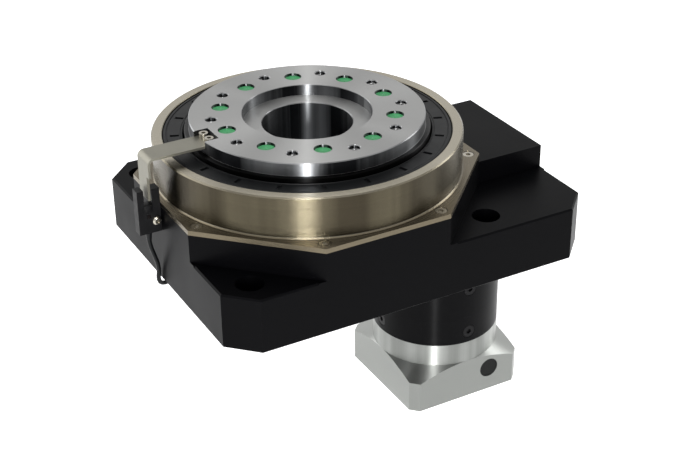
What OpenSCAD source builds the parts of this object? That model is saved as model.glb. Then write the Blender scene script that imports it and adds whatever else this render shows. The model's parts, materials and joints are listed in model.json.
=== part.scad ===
// Hollow rotary platform: a hollow steel table on a crossed-roller bearing, turned by a
// spur gear pair and an in-line planetary stage, with a home dog and a slot sensor.
// Millimetres. Origin on the table axis, on the base (mounting) face; +Z out of the table,
// +X towards the gearbox end.

/* [Housing] */
// Width of the body and of its octagonal deck, across flats
body_w = 200; // [198:0.5:206]
// Distance from the table axis to the gearbox end of the body
body_end = 148; // [144:1:165]
// Height of the four mounting lugs
lug_h = 35; // [30:0.5:40]
// Height of the octagonal deck
deck_h = 53; // [50:0.5:56]
// Height of the raised block over the pinion
block_h = 50; // [48:0.5:52]
// Length cut off each outer corner
corner_cut = 17; // [12:0.5:18]
// Bevel along the upper edges of the lugs
lug_bevel = 1; // [0.4:0.1:1.5]
// Bevel along the lower edges of the body
base_bevel = 0.5; // [0.2:0.1:1]
// Distance of the mounting holes in from the sides of the body
lug_edge = 20; // [18:0.5:22]
// Wall between the bearing seat and the flats of the body
seat_wall = 12; // [11:0.1:13]
// Diameter of the mounting holes (M10 clearance)
lug_hole_d = 11; // [10:0.1:12]
// Diameter of the counterbores over the mounting holes
lug_cbore_d = 17.5; // [16:0.1:18]
// Depth of those counterbores
lug_cbore_depth = 11; // [8:0.5:14]
// Depth by which the base face is relieved around the gearbox
relief_h = 1; // [0.8:0.1:2]

/* [Ring cover] */
// Thickness of the octagonal plate
plate_t = 3; // [2.5:0.1:4]
// Thickness of the ring wall around the table seal
ring_wall = 6.75; // [6:0.05:7.5]
// Thickness of the inner flange that holds the bearing down
flange_t = 7.5; // [6:0.1:9]
// Bevel at the top of the ring wall
ring_bevel = 0.8; // [0.3:0.1:1.5]
// Distance of the cover screws in from the corners of the plate
cover_edge = 7.2; // [6.8:0.1:7.6]

/* [Table] */
// Step from the seal journal in to the rim of the disc
rim_step = 3; // [2.5:0.1:3.5]
// Height of the disc's rim
disc_t = 8; // [6:0.1:9]
// Height of the table face above the ring cover
table_rise = 10; // [9:0.1:12]
// Diameter of the through bore
bore_d = 56; // [50:0.5:60]
// Distance of the locating recess's wall in from the circle of plugs
pilot_in = 14; // [13:0.1:15]
// Depth of the locating recess
pilot_depth = 7; // [5:0.1:8]
// Distance of the tapped load holes in from the rim of the disc
load_edge = 13.5; // [12.5:0.1:14.5]
// Distance of the circle of plugs in from the circle of load holes
plug_in = 5; // [4:0.1:6]
// Tapping diameter of the load holes (M8)
load_tap_d = 6.8; // [6:0.1:7]
// Depth of the load holes
load_depth = 20; // [12:1:24]
// How far the plugs sit below the table face
plug_recess = 1.2; // [0.5:0.1:2]

/* [Seals and bearings] */
// Thickness of the table seal
seal_t = 12; // [10:0.5:14]
// Radial width of the table seal
seal_w = 13.5; // [12.5:0.1:14.5]
// How far the table seal sits below the ring cover
seal_recess = 0.5; // [0.3:0.1:1]
// Radial section of the crossed-roller bearing
xr_section = 21; // [20.5:0.1:22]
// Height of the crossed-roller bearing
xr_h = 20; // [19:0.5:22]
// Diameter of the crossed rollers
roller_d = 8; // [7:0.1:8.5]
// Diameter of the table sleeve, and bore of the lower bearing
sleeve_d = 75; // [72:0.5:77]
// Radial section of the lower bearing
low_section = 10; // [9:0.1:10.5]
// Width of the lower bearing
low_w = 10; // [9:0.5:12]
// Thickness of the lower seal
low_seal_t = 4.5; // [4:0.1:6]
// Thickness of the base cover
base_cover_t = 2.5; // [2:0.1:4]

/* [Gears] */
// Module of the table gear and pinion
gear_m = 2; // [1.9:0.05:2]
// Teeth on the table gear
gear_n = 72; // [72:1:73]
// Teeth on the pinion
pinion_n = 24; // [23:1:24]
// Face width of the table gear
gear_w = 17; // [15:0.5:19]
// Height of the gear's upper boss, under the bearing
boss_up = 3; // [3:0.1:4]
// Height of the gear's lower boss, over the lower bearing
boss_low = 5; // [4:0.1:6]
// Module of the planetary stage
planet_m = 0.8; // [0.75:0.05:0.85]
// Teeth on the sun
sun_n = 18; // [18:3:18]
// Teeth on each planet
planet_n = 27; // [27:3:27]
// Face width of the planets
planet_w = 16; // [12:0.5:16]
// Thinning of each tooth at the pitch line, for backlash
tooth_thin = 0.06; // [0.04:0.01:0.12]

/* [Gearbox] */
// Outer diameter of the gearbox body, and width across its motor adapter
box_d = 86; // [84:0.5:90]
// Length of the gearbox body
box_len = 83.5; // [83:0.5:90]
// Bore of the gearbox body around the ring gear
box_bore = 78; // [76:0.5:79]
// Depth of the row of screws that holds the ring gear
ring_screw_z = 42.6; // [41:0.1:46]
// Depth of the row of screws that holds the adapter
adapter_screw_z = 75.5; // [74:0.1:77]
// Diameter of the output shaft in its bearings
output_d = 25; // [24:0.5:26]
// Radial section of the output bearings
output_section = 13.5; // [13:0.1:14]
// Width of each output bearing
output_w = 15; // [14:0.5:15]

/* [Motor adapter] */
// Length of the round collar
collar_len = 15.5; // [12:0.5:18]
// Height of the flare from round to square
flare_h = 7; // [5:0.5:9]
// Length of the adapter below the gearbox body
adapter_len = 44.5; // [43:0.5:50]
// Corner chamfer of the square flange
adapter_cut = 5.5; // [4:0.5:8]
// Diameter of the motor's locating rim
pilot_motor_d = 70; // [66:0.5:73]
// Depth of the motor's locating rim
pilot_motor_depth = 5; // [3:0.5:6]
// Pitch circle of the motor screws
motor_pcd = 90; // [88:0.5:94]
// Tapping diameter of the motor screw holes (M6)
motor_tap_d = 5; // [4:0.1:6]
// Bore of the clamp hub for the motor shaft
clamp_bore = 19; // [14:0.5:20]
// Outer diameter of the clamp hub's sleeve
clamp_sleeve_d = 30; // [29:0.5:31]
// Outer diameter of the clamp collar
clamp_d = 52; // [50:0.5:56]
// Diameter of the access hole to the clamp screw
access_d = 14; // [12:0.5:16]
// Bore of the input bearing
input_d = 40; // [38:0.5:42]
// Radial section of the input bearing
input_section = 14; // [13.5:0.1:14.5]
// Width of the input bearing
input_w = 15; // [14:0.5:16]

/* [Home dog and sensor] */
// Width of the dog
dog_w = 16; // [12:0.5:18]
// Sheet thickness of the dog
dog_t = 1.5; // [1:0.1:2]
// Depth of the dog's pocket in the table
pocket_depth = 4.8; // [4.5:0.1:5.5]
// How far the pocket reaches in from the disc's rim
pocket_len = 9.5; // [9:0.1:11]
// Depth that the dog reaches into the sensor slot
flag_depth = 5.7; // [4:0.1:6]
// Width of the notch in the leg's front edge
notch_w = 3.5; // [2:0.1:5]
// Height of the notch in the leg's front edge
notch_h = 16; // [10:0.5:18]
// Width of the sensor body
sensor_w = 14.2; // [13.6:0.1:16]
// Depth of the sensor body
sensor_d = 6.6; // [6:0.1:8]
// Height of the sensor body
sensor_h = 29; // [27:0.5:31]
// Width of the sensor slot
slot_w = 5.1; // [4.6:0.1:6]
// Depth of the sensor slot
slot_depth = 15; // [12:0.5:16]
// Width of the arm beside the housing
arm_w = 5; // [4.6:0.1:5.4]
// Distance of the sensor's underside below the deck
sensor_drop = 16; // [15:0.5:17]
// Distance of the sensor's front face in front of the table axis
sensor_front = 1.4; // [0.5:0.1:3]
// Diameter of the sensor lead
lead_d = 2.8; // [2.4:0.1:3]

/* [Hidden] */
$fn = 96;
eps = 0.01;

// Clearances
seat_gap = 0.02;            // radial, between pieces that are assembled tight
run_gap = 0.05;             // radial, between a journal and what it turns in
roll_gap = 0.03;            // between a rolling element and its race
ball_share = 0.32;          // a ball's radius as a share of its bearing's section
tip_gap = 2;                // radial, between a gear's tips and its chamber

// Heights, built up from the base face
low_seal_z = base_cover_t;
low_z = low_seal_z + low_seal_t;
low_top = low_z + low_w;
gear_z = low_top + boss_low;
gear_top = gear_z + gear_w;
xr_z = gear_top + boss_up;
xr_top = xr_z + xr_h;
seal_z = xr_top + flange_t;
seal_top = seal_z + seal_t;
ring_top = seal_top + seal_recess;
table_top = ring_top + table_rise;
disc_z = table_top - disc_t;
pilot_z = table_top - pilot_depth;
sleeve_z = 1;
floor_z = gear_z - tip_gap;

// Housing
half_w = body_w / 2;
flat_half = half_w * tan(22.5);
vertex_r = half_w / cos(22.5);
lug_at = half_w - lug_edge;
seat_r = half_w - seat_wall;
chamber_r = gear_m * (gear_n / 2 + 1) + tip_gap;
axle_x = gear_m * (gear_n + pinion_n) / 2;
pinion_tip = gear_m * (pinion_n / 2 + 1);
well_r = pinion_tip + 2 * tip_gap;
well_top = xr_z + 1;
low_r = sleeve_d / 2 + low_section;
low_lip_r = low_r - 3.5;
base_cover_r = low_r + 6.5;
cover_tap_depth = 12;       // tapped holes under the cover screws
base_screw_r = base_cover_r - 3.25;
bevel_stop = 5;             // the lug bevels end this far from the deck
bevel_over = 1;             // how far a bevel's cutter stands out of the body
relief_gap = 0.8;           // between the gearbox and the sides of its relief

// Ring cover and seal
seal_r = seat_r + 1;
journal_r = seal_r - seal_w;
ring_r = seal_r + ring_wall;
cover_screw_r = vertex_r - cover_edge;
cover_hole_r = journal_r + 2.5;
cover_head_d = 7;
cover_head_h = 2;
slot_n = 20;                // grip slots in the seal's face
slot_in = journal_r + 3.2;
slot_out = seal_r - 4.7;

// Crossed-roller bearing
hub_r = seat_r - xr_section;
xr_mid_r = (hub_r + seat_r) / 2;
xr_mid_z = xr_z + xr_h / 2;
race_half = roller_d / 2 + roll_gap;
race_split = 0.8;           // half the gap between the inner and outer races
roller_len = roller_d - 0.4;
roller_n = 2 * floor(PI * xr_mid_r / (roller_d + 1));

// Screw sizes: [thread radius, head radius, head height, hex across corners / 2]
m3 = [1.5, 2.75, 3, 1.4];
m4_low = [2, 3.5, cover_head_h, 1.7];
m5 = [2.5, 4.25, 5, 2.3];
m5_flat = [2.5, 4.35, 2.4, 1.9];
m6 = [3, 5, 6, 2.85];

// Table
// the gear's boss lies just inside the tooth roots and clear of the outer race
boss_r = min(gear_m * (gear_n / 2 - 1.25) - 0.3, xr_mid_r - race_split - 0.5);
sleeve_r = sleeve_d / 2;
disc_r = journal_r - rim_step;
load_r = disc_r - load_edge;
plug_r = load_r - plug_in;
pilot_r = plug_r - pilot_in;
stop_r = hub_r + 5;
plug_hole_r = m6[1] + 0.5;
plug_hole_depth = 10;
plug_t = 2.6;
gear_bolt_len = table_top - plug_hole_depth - gear_z;
table_hole_n = 10;

// Home dog and sensor, on the side away from the gearbox
sensor_gap = 0.2;           // between the sensor and the housing
sensor_x = -half_w - sensor_gap;
slot_right = sensor_x - arm_w;
slot_mid = slot_right - slot_w / 2;
sensor_z = deck_h - sensor_drop;
sensor_top = sensor_z + sensor_h;
flag_z = sensor_top - flag_depth;
leg_out = slot_mid - dog_t / 2;
dog_z = table_top - pocket_depth;
pocket_x = -(disc_r - pocket_len);
dog_end = pocket_x - 0.4;
bend_r = 4;
dog_screw_x = pocket_x - 4.5;
dog_screw_y = dog_w / 4;
sensor_screw_x = sensor_x - 3.1;
sensor_screw_z = sensor_z + 8;
bracket_t = 1.4;
bracket_top = sensor_top - slot_depth - 1;
bracket_y = sensor_d - sensor_front;
bracket_flange = 12;
lead_y = sensor_d / 2 - sensor_front;

// Gearbox, downwards from the base face
spigot_h = 3;
lip_t = 3;
output_r = output_d / 2;
output_seat_r = output_r + output_section;
output_top = -lip_t;
output_bottom = output_top - 2 * output_w;
retainer_t = 3;
ring_z1 = output_bottom - retainer_t;
carrier_t = 5;
carrier_gap = 1;
carrier_top = ring_z1 - carrier_gap;
planet_top = carrier_top - carrier_t - 0.5;
planet_z = planet_top - planet_w;
plate_top = planet_z - 0.5;
carrier_plate_t = 4;
plate_z = plate_top - carrier_plate_t;
hub_top = plate_z - carrier_gap;
input_top = hub_top - 2;
input_bottom = input_top - input_w;
adapter_top = -box_len;
ring_z0 = input_top;
ring_n = sun_n + 2 * planet_n;
orbit_r = planet_m * (sun_n + planet_n) / 2;
carrier_r = planet_m * ring_n / 2 - planet_m - 2.5;
planet_pin_r = 3;
box_r = box_d / 2;
bore_r = box_bore / 2;
boss_seat_r = box_r - 1.5;  // seat of the gearbox in the relief, clear of the base cover
flange_bolt_r = (output_seat_r + bore_r) / 2 + 1.5;
flange_bolt_n = 6;
head_z = -10;               // underside of the flange screws' heads
radial_n = 4;
shaft_r = output_r - 1.5;
pinion_over = 0.75;         // the pinion is wider than the gear by this at each end
pinion_z = gear_z - pinion_over;
pinion_top = gear_top + pinion_over;
circlip_t = 1.2;
shaft_top = pinion_top + 1.65;
key_w = 6;

// Adapter and clamp
adapter_z = adapter_top - adapter_len;
flare_top = adapter_top - collar_len;
flare_z = flare_top - flare_h;
flare_r = box_r + 2 * flare_h;
input_r = input_d / 2;
input_seat_r = input_r + input_section;
cavity_r = input_seat_r - 3;
motor_rim_z = adapter_z + pilot_motor_depth;
clamp_z = adapter_z + 9;
clamp_screw_x = clamp_sleeve_d / 2 + m5[0] + 0.1;
clamp_h = 14.4;
clamp_screw_z = clamp_z + 1 + clamp_h / 2;
clamp_slit = 2;
access_x = axle_x + clamp_screw_x;

// Sensor lead: out of the sensor, down the face, round the lower edge and under the body
// to a coil that is strapped behind the gearbox
lead_route = [[-107.8, 1.9, 37], [-107.8, 1.9, 31], [-106.8, 2.1, 25], [-104.8, 2.8, 18.5],
              [-102.9, 4, 12], [-102, 5.4, 6], [-102, 6.6, 0.4], [-100.6, 7.7, -3.8],
              [-96.6, 9.4, -6.1], [-90, 12.6, -7], [-80, 19, -8.6], [-67, 29, -11],
              [-52, 40, -13.4], [-35, 50.5, -15.4], [-16, 58, -16.6], [4, 61.6, -16.8],
              [25, 61.4, -15.9], [45, 58.4, -14.1], [64, 54.4, -11.4], [80, 51, -9],
              [90, 50.3, -7.9]];
lead_sides = 8;
lead_steps = 2;             // rings for each stretch of the route
coil_r = 16.8;
bundle_r = 5;
coil_y = box_r + 0.3 + bundle_r;
coil_z = -24;
strap_w = 4.8;
strap_t = 1.2;

// ---------------------------------------------------------------- small shapes

// A hollow cylinder between two heights
module tube(r_out, r_in, z0, z1) {
    difference() {
        translate([0, 0, z0]) cylinder(r = r_out, h = z1 - z0);
        translate([0, 0, z0 - 1]) cylinder(r = r_in, h = z1 - z0 + 2);
    }
}

// Copies around the Z axis
module ring_of(n, r, start = 0) {
    for (i = [0 : n - 1])
        rotate([0, 0, start + i * 360 / n]) translate([r, 0, 0]) children();
}

// A regular octagon with flats square to the axes
module octagon(half, h) {
    r = half / cos(22.5);
    linear_extrude(height = h)
        polygon([for (i = [0 : 7]) r * [cos(22.5 + 45 * i), sin(22.5 + 45 * i)]]);
}

// A rectangle with cut corners
module cut_rectangle(x0, x1, y0, y1, cut, h) {
    linear_extrude(height = h)
        polygon([[x0 + cut, y0], [x1 - cut, y0], [x1, y0 + cut], [x1, y1 - cut],
                 [x1 - cut, y1], [x0 + cut, y1], [x0, y1 - cut], [x0, y0 + cut]]);
}

// A prism that bevels the plan edge from a to b at height z, with the body on its left.
// side is 1 on an upper edge and -1 on a lower one; open ends run past their corners.
module bevel_edge(a, b, z, c, side = 1, start_open = true, end_open = true) {
    d = b - a;
    over = 2 * c + bevel_over;
    from = start_open ? -over : 0;
    to = norm(d) + (end_open ? over : 0);
    translate([a[0], a[1], z]) rotate([0, 0, atan2(d[1], d[0])]) rotate([90, 0, 90])
        translate([0, 0, from]) linear_extrude(height = to - from)
            polygon([[c + bevel_over, side * bevel_over],
                     [-bevel_over, -side * (c + bevel_over)],
                     [-bevel_over, side * bevel_over]]);
}

// A socket head screw: head above z = 0, shank below
module cap_screw(size, length) {
    difference() {
        union() {
            cylinder(r = size[1], h = size[2]);
            translate([0, 0, -length]) cylinder(r = size[0], h = length + eps);
        }
        translate([0, 0, size[2] * 0.45]) cylinder(r = size[3], h = size[2], $fn = 6);
    }
}

// A pan head screw with a cross recess
module pan_screw(size, length) {
    arm = size[1] * 1.2;
    difference() {
        union() {
            cylinder(r = size[1], h = size[2] * 0.45);
            translate([0, 0, size[2] * 0.45 - eps])
                cylinder(r1 = size[1], r2 = size[1] * 0.62, h = size[2] * 0.35);
            translate([0, 0, -length]) cylinder(r = size[0], h = length + eps);
        }
        for (a = [0, 90]) rotate([0, 0, a])
            translate([-arm / 2, -0.35, size[2] * 0.3]) cube([arm, 0.7, size[2]]);
    }
}

// ---------------------------------------------------------------- gear teeth

// Polar angle of the involute at radius r, in degrees
function involute(rb, r) =
    let (t = sqrt(max(0, pow(r / rb, 2) - 1))) t * 180 / PI - atan(t);

// Half the angle of a tooth at radius r
function half_tooth(m, n, r, thin) =
    let (p = m * n / 2, rb = p * cos(20))
    90 / n - thin / p * 90 / PI + involute(rb, p) - involute(rb, max(r, rb));

// Outline of a spur gear with a tooth centred on angle 0
function gear_outline(m, n, root, tip, thin, steps = 3) =
    let (rb = m * n / 2 * cos(20), low = max(rb, root))
    [for (i = [0 : n - 1], side = [-1, 1], k = [0 : steps + 1])
        let (j = side < 0 ? k : steps + 1 - k,
             r = j == 0 ? root : low + (tip - low) * (j - 1) / steps,
             a = i * 360 / n + side * half_tooth(m, n, r, thin))
        r * [cos(a), sin(a)]];

module spur_gear(m, n, h, thin = tooth_thin) {
    linear_extrude(height = h)
        polygon(gear_outline(m, n, m * (n / 2 - 1.25), m * (n / 2 + 1), thin));
}

// ---------------------------------------------------------------- ball bearings

// Outer and inner rings with a groove for balls of radius br on the pitch radius pr
module race(r_in, r_out, pr, br, w) {
    rotate_extrude() difference() {
        translate([r_in, 0]) square([r_out - r_in, w]);
        translate([pr, w / 2]) circle(r = br + roll_gap, $fn = 48);
    }
}

module balls(pr, br, n, w) {
    ring_of(n, pr) translate([0, 0, w / 2]) sphere(r = br, $fn = 32);
}

// ---------------------------------------------------------------- housing

// Bevels along the upper edges of the lugs and the lower edges of the body
module body_bevels() {
    x0 = -half_w;
    x1 = body_end;
    y0 = -half_w;
    y1 = half_w;
    c = corner_cut;
    near = flat_half + bevel_stop;
    z = lug_h;
    k = lug_bevel;
    bevel_edge([x0, -near], [x0, y0 + c], z, k, 1, false, true);
    bevel_edge([x0, y0 + c], [x0 + c, y0], z, k);
    bevel_edge([x0 + c, y0], [-near, y0], z, k, 1, true, false);
    bevel_edge([near, y0], [x1 - c, y0], z, k, 1, false, true);
    bevel_edge([x1 - c, y0], [x1, y0 + c], z, k);
    bevel_edge([x1, y0 + c], [x1, -near], z, k, 1, true, false);
    bevel_edge([x1, near], [x1, y1 - c], z, k, 1, false, true);
    bevel_edge([x1, y1 - c], [x1 - c, y1], z, k);
    bevel_edge([x1 - c, y1], [near, y1], z, k, 1, true, false);
    bevel_edge([-near, y1], [x0 + c, y1], z, k, 1, false, true);
    bevel_edge([x0 + c, y1], [x0, y1 - c], z, k);
    bevel_edge([x0, y1 - c], [x0, near], z, k, 1, true, false);
    corners = [[x0, y0 + c], [x0 + c, y0], [x1 - c, y0], [x1, y0 + c],
               [x1, y1 - c], [x1 - c, y1], [x0 + c, y1], [x0, y1 - c]];
    for (i = [0 : 7]) bevel_edge(corners[i], corners[(i + 1) % 8], 0, base_bevel, -1);
}

module housing() color("#232425") difference() {
    union() {
        cut_rectangle(-half_w, body_end, -half_w, half_w, corner_cut, lug_h);
        octagon(half_w, deck_h);
        translate([0, -flat_half, 0]) cube([body_end, 2 * flat_half, block_h]);
    }
    body_bevels();
    // bearing seat, gear chamber and lower bearing bore
    translate([0, 0, xr_z]) cylinder(r = seat_r + seat_gap, h = deck_h);
    translate([0, 0, floor_z]) cylinder(r = chamber_r, h = deck_h);
    translate([0, 0, low_top - eps]) cylinder(r = low_lip_r, h = deck_h);
    translate([0, 0, -1]) cylinder(r = low_r + seat_gap, h = low_top + 1);
    translate([0, 0, -1]) cylinder(r = base_cover_r + seat_gap, h = base_cover_t + 1);
    // pinion well, and the relief that keeps the gearbox clear of the machine's frame
    translate([axle_x, 0, -1]) cylinder(r = well_r, h = well_top + 1);
    translate([axle_x - box_r - relief_gap, -box_r - relief_gap, -1])
        cube([body_end, 2 * (box_r + relief_gap), relief_h + 1]);
    // mounting holes
    for (x = [-lug_at, lug_at], y = [-lug_at, lug_at]) translate([x, y, 0]) {
        translate([0, 0, -1]) cylinder(d = lug_hole_d, h = lug_h + 2);
        translate([0, 0, lug_h - lug_cbore_depth]) cylinder(d = lug_cbore_d, h = deck_h);
    }
    // tapped holes for the ring cover, base cover, gearbox and sensor bracket
    ring_of(8, cover_screw_r, 22.5)
        translate([0, 0, deck_h - cover_tap_depth])
            cylinder(r = m4_low[0] + seat_gap, h = cover_tap_depth + 1);
    ring_of(6, base_screw_r, 30) cylinder(r = m3[0] + seat_gap, h = low_top - 4);
    translate([axle_x, 0, -1]) ring_of(flange_bolt_n, flange_bolt_r, 30)
        cylinder(r = m5[0] + seat_gap, h = 13);
    translate([-half_w, bracket_y + bracket_flange / 2 + 1, sensor_screw_z])
        rotate([0, 90, 0]) translate([0, 0, -1]) cylinder(r = m3[0] + seat_gap, h = 8);
}

module ring_cover() color("#b9b3a4") difference() {
    union() {
        translate([0, 0, deck_h]) octagon(half_w, plate_t);
        base = deck_h + plate_t;
        rotate_extrude() polygon([[seal_r - 2, deck_h], [ring_r, deck_h],
            [ring_r + ring_bevel, base], [ring_r, base + ring_bevel],
            [ring_r, ring_top - ring_bevel], [ring_r - ring_bevel, ring_top],
            [seal_r - 2, ring_top]]);
        translate([0, 0, xr_top]) cylinder(r = seal_r, h = flange_t);
    }
    translate([0, 0, deck_h - 1])
        cylinder(r = seat_r + seat_gap, h = xr_top - deck_h + 1);
    translate([0, 0, deck_h]) cylinder(r = cover_hole_r, h = ring_top);
    translate([0, 0, seal_z]) cylinder(r = seal_r + seat_gap, h = seal_t + 1);
    translate([0, 0, ring_top - ring_bevel / 2])
        cylinder(r1 = seal_r, r2 = seal_r + ring_bevel, h = ring_bevel);
    ring_of(8, cover_screw_r, 22.5) {
        translate([0, 0, deck_h - 1]) cylinder(r = m4_low[0] + 0.2, h = plate_t + 2);
        translate([0, 0, deck_h + plate_t - cover_head_h - 0.2])
            cylinder(r = m4_low[1] + 0.35, h = plate_t);
    }
}

module cover_screws() color("#8f8d86")
    ring_of(8, cover_screw_r, 22.5)
        translate([0, 0, deck_h + plate_t - cover_head_h - 0.2]) cap_screw(m4_low, 10);

module table_seal() color("#2a2c2e") difference() {
    rotate_extrude() polygon([[journal_r + 3, seal_z], [seal_r, seal_z],
        [seal_r, seal_top - 1], [seal_r - 0.7, seal_top], [journal_r + 1.4, seal_top],
        [journal_r + run_gap, seal_top - 2.2], [journal_r + run_gap, seal_top - 3],
        [journal_r + 3, seal_top - 5]]);
    ring_of(slot_n, slot_in, 15)
        translate([0, -0.55, seal_top - 0.7]) cube([slot_out - slot_in, 1.1, 2]);
}

// ---------------------------------------------------------------- crossed rollers

module race_square() {
    translate([xr_mid_r, xr_mid_z]) rotate(45)
        square([2 * race_half, 2 * race_half], center = true);
}

module outer_race(z0, z1) {
    rotate_extrude() difference() {
        translate([xr_mid_r + race_split, z0])
            square([seat_r - xr_mid_r - race_split, z1 - z0]);
        race_square();
    }
}

module outer_race_upper() color("#a7abae") outer_race(xr_mid_z, xr_top);
module outer_race_lower() color("#a7abae") outer_race(xr_z, xr_mid_z);

module inner_race() color("#a7abae") rotate_extrude() difference() {
    translate([hub_r + seat_gap, xr_z])
        square([xr_mid_r - race_split - hub_r - seat_gap, xr_h]);
    race_square();
}

module cross_rollers() color("#c8ccce")
    for (i = [0 : roller_n - 1]) rotate([0, 0, i * 360 / roller_n])
        translate([xr_mid_r, 0, xr_mid_z]) rotate([0, i % 2 == 0 ? 45 : -45, 0])
            cylinder(d = roller_d, h = roller_len, center = true);

// ---------------------------------------------------------------- table

module rotary_table() color("#9d9fa0") difference() {
    rotate_extrude() polygon([[bore_d / 2, sleeve_z], [sleeve_r, sleeve_z], [sleeve_r, xr_z],
        [hub_r, xr_z], [hub_r, xr_top], [stop_r, xr_top], [stop_r, xr_top + 4],
        [journal_r, xr_top + 4], [journal_r, disc_z - 0.4], [journal_r - 0.4, disc_z],
        [disc_r, disc_z], [disc_r, table_top - 0.5], [disc_r - 0.5, table_top],
        [pilot_r + 0.3, table_top], [pilot_r, table_top - 0.3],
        [pilot_r, pilot_z], [bore_d / 2 + 0.4, pilot_z], [bore_d / 2, pilot_z - 0.4]]);
    ring_of(table_hole_n, plug_r) {
        translate([0, 0, table_top - plug_hole_depth]) cylinder(r = plug_hole_r, h = 20);
        cylinder(r = m6[0] + 0.3, h = table_top);
    }
    ring_of(table_hole_n, load_r, 180 / table_hole_n) {
        translate([0, 0, table_top - load_depth]) cylinder(d = load_tap_d, h = 40);
        translate([0, 0, table_top - 0.5])
            cylinder(d1 = load_tap_d, d2 = load_tap_d + 2, h = 1);
    }
    translate([-2 * disc_r + pocket_x + disc_r, -dog_w / 2 - 0.1, dog_z])
        cube([disc_r, dog_w + 0.2, 20]);
    for (s = [-1, 1]) translate([dog_screw_x, s * dog_screw_y, dog_z - 8])
        cylinder(r = m3[0] + seat_gap, h = 10);
}

module table_plugs() color("#3f8f5a") ring_of(table_hole_n, plug_r)
    translate([0, 0, table_top - plug_recess - plug_t])
        cylinder(r = plug_hole_r - seat_gap, h = plug_t);

module gear_screws() color("#3a3b3d") ring_of(table_hole_n, plug_r)
    translate([0, 0, table_top - plug_hole_depth]) cap_screw(m6, gear_bolt_len);

module main_gear() color("#8d9195") difference() {
    union() {
        translate([0, 0, gear_z]) spur_gear(gear_m, gear_n, gear_w);
        translate([0, 0, gear_z]) cylinder(r = boss_r, h = xr_z - gear_z);
        translate([0, 0, low_top]) cylinder(r = sleeve_r + 3.5, h = boss_low + eps);
    }
    cylinder(r = sleeve_r + seat_gap, h = 2 * xr_z);
    ring_of(table_hole_n, plug_r) cylinder(r = m6[0] + seat_gap, h = 2 * xr_z);
}

module home_dog() color("#b7b2a2") {
    arm_top = dog_z + dog_t;
    leg_in = leg_out + dog_t;
    difference() {
        rotate([90, 0, 0]) translate([0, 0, -dog_w / 2]) linear_extrude(height = dog_w) {
            translate([leg_out + bend_r, dog_z])
                square([dog_end - leg_out - bend_r, dog_t]);
            translate([leg_out, flag_z]) square([dog_t, arm_top - bend_r - flag_z]);
            intersection() {
                translate([leg_out + bend_r, arm_top - bend_r]) difference() {
                    circle(r = bend_r, $fn = 64);
                    circle(r = bend_r - dog_t, $fn = 64);
                }
                translate([leg_out, arm_top - bend_r]) square([bend_r, bend_r]);
            }
        }
        translate([leg_out - 1, -dog_w / 2 - 1, flag_z - 1])
            cube([dog_t + 2, notch_w + 1, notch_h + 1]);
        for (s = [-1, 1]) translate([dog_screw_x, s * dog_screw_y, dog_z - 1])
            cylinder(r = m3[0] + 0.2, h = 4);
    }
}

module dog_screws() color("#c5c2b8")
    for (s = [-1, 1]) translate([dog_screw_x, s * dog_screw_y, dog_z + dog_t])
        cap_screw(m3, 9);

// ---------------------------------------------------------------- lower bearing and cover

low_pr = sleeve_r + low_section / 2;
low_br = ball_share * low_section;

module lower_bearing_outer() color("#a7abae")
    translate([0, 0, low_z]) race(low_pr + 1, low_r, low_pr, low_br, low_w);
module lower_bearing_inner() color("#a7abae") translate([0, 0, low_z])
    race(sleeve_r + seat_gap, low_pr - 1, low_pr, low_br, low_w);
module lower_balls() color("#d0d3d5")
    translate([0, 0, low_z]) balls(low_pr, low_br, 28, low_w);

module lower_seal() color("#2a2c2e") rotate_extrude()
    polygon([[sleeve_r + run_gap, low_seal_z + 1], [sleeve_r + 1, low_seal_z],
        [low_r, low_seal_z], [low_r, low_z], [low_pr + 1.5, low_z],
        [low_pr + 1.5, low_z - 1.5], [sleeve_r + run_gap, low_seal_z + 2]]);

module base_cover() color("#2b2c2d") difference() {
    tube(base_cover_r, sleeve_r + 1, 0, base_cover_t);
    ring_of(6, base_screw_r, 30) {
        translate([0, 0, -1]) cylinder(r = m3[0] + 0.15, h = 10);
        translate([0, 0, -eps])
            cylinder(r1 = m3[1] + 0.1, r2 = m3[0] + 0.15, h = 1.6);
    }
}

module base_cover_screws() color("#8f8d86") ring_of(6, base_screw_r, 30) difference() {
    union() {
        cylinder(r1 = m3[1], r2 = m3[0], h = 1.5);
        cylinder(r = m3[0], h = low_top - 6);
    }
    translate([0, 0, -eps]) cylinder(r = 1.1, h = 1.1, $fn = 6);
}

// ---------------------------------------------------------------- sensor

module sensor() color("#141516") difference() {
    translate([0, sensor_d - sensor_front, 0]) rotate([90, 0, 0])
        linear_extrude(height = sensor_d) polygon([
            [sensor_x - sensor_w, sensor_z], [sensor_x, sensor_z], [sensor_x, sensor_top],
            [slot_right, sensor_top], [slot_right, sensor_top - slot_depth],
            [slot_right - slot_w, sensor_top - slot_depth],
            [slot_right - slot_w, sensor_top], [sensor_x - sensor_w, sensor_top]]);
    translate([sensor_screw_x, -sensor_front - 1, sensor_screw_z]) rotate([-90, 0, 0])
        cylinder(r = m3[0] + 0.1, h = sensor_d + 2);
    // light windows in both arms
    translate([slot_mid, lead_y, sensor_top - 3]) rotate([0, 90, 0])
        cylinder(r = 0.9, h = slot_w + 1.2, center = true);
    translate([slot_mid - 1.3, -sensor_front - 1, sensor_top - slot_depth - 4])
        cube([2.6, 1.5, 2.6]);
}

module sensor_lens() color("#7a4a22")
    translate([slot_mid - 1.25, -sensor_front, sensor_top - slot_depth - 3.95])
        cube([2.5, 0.5, 2.5]);

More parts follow.
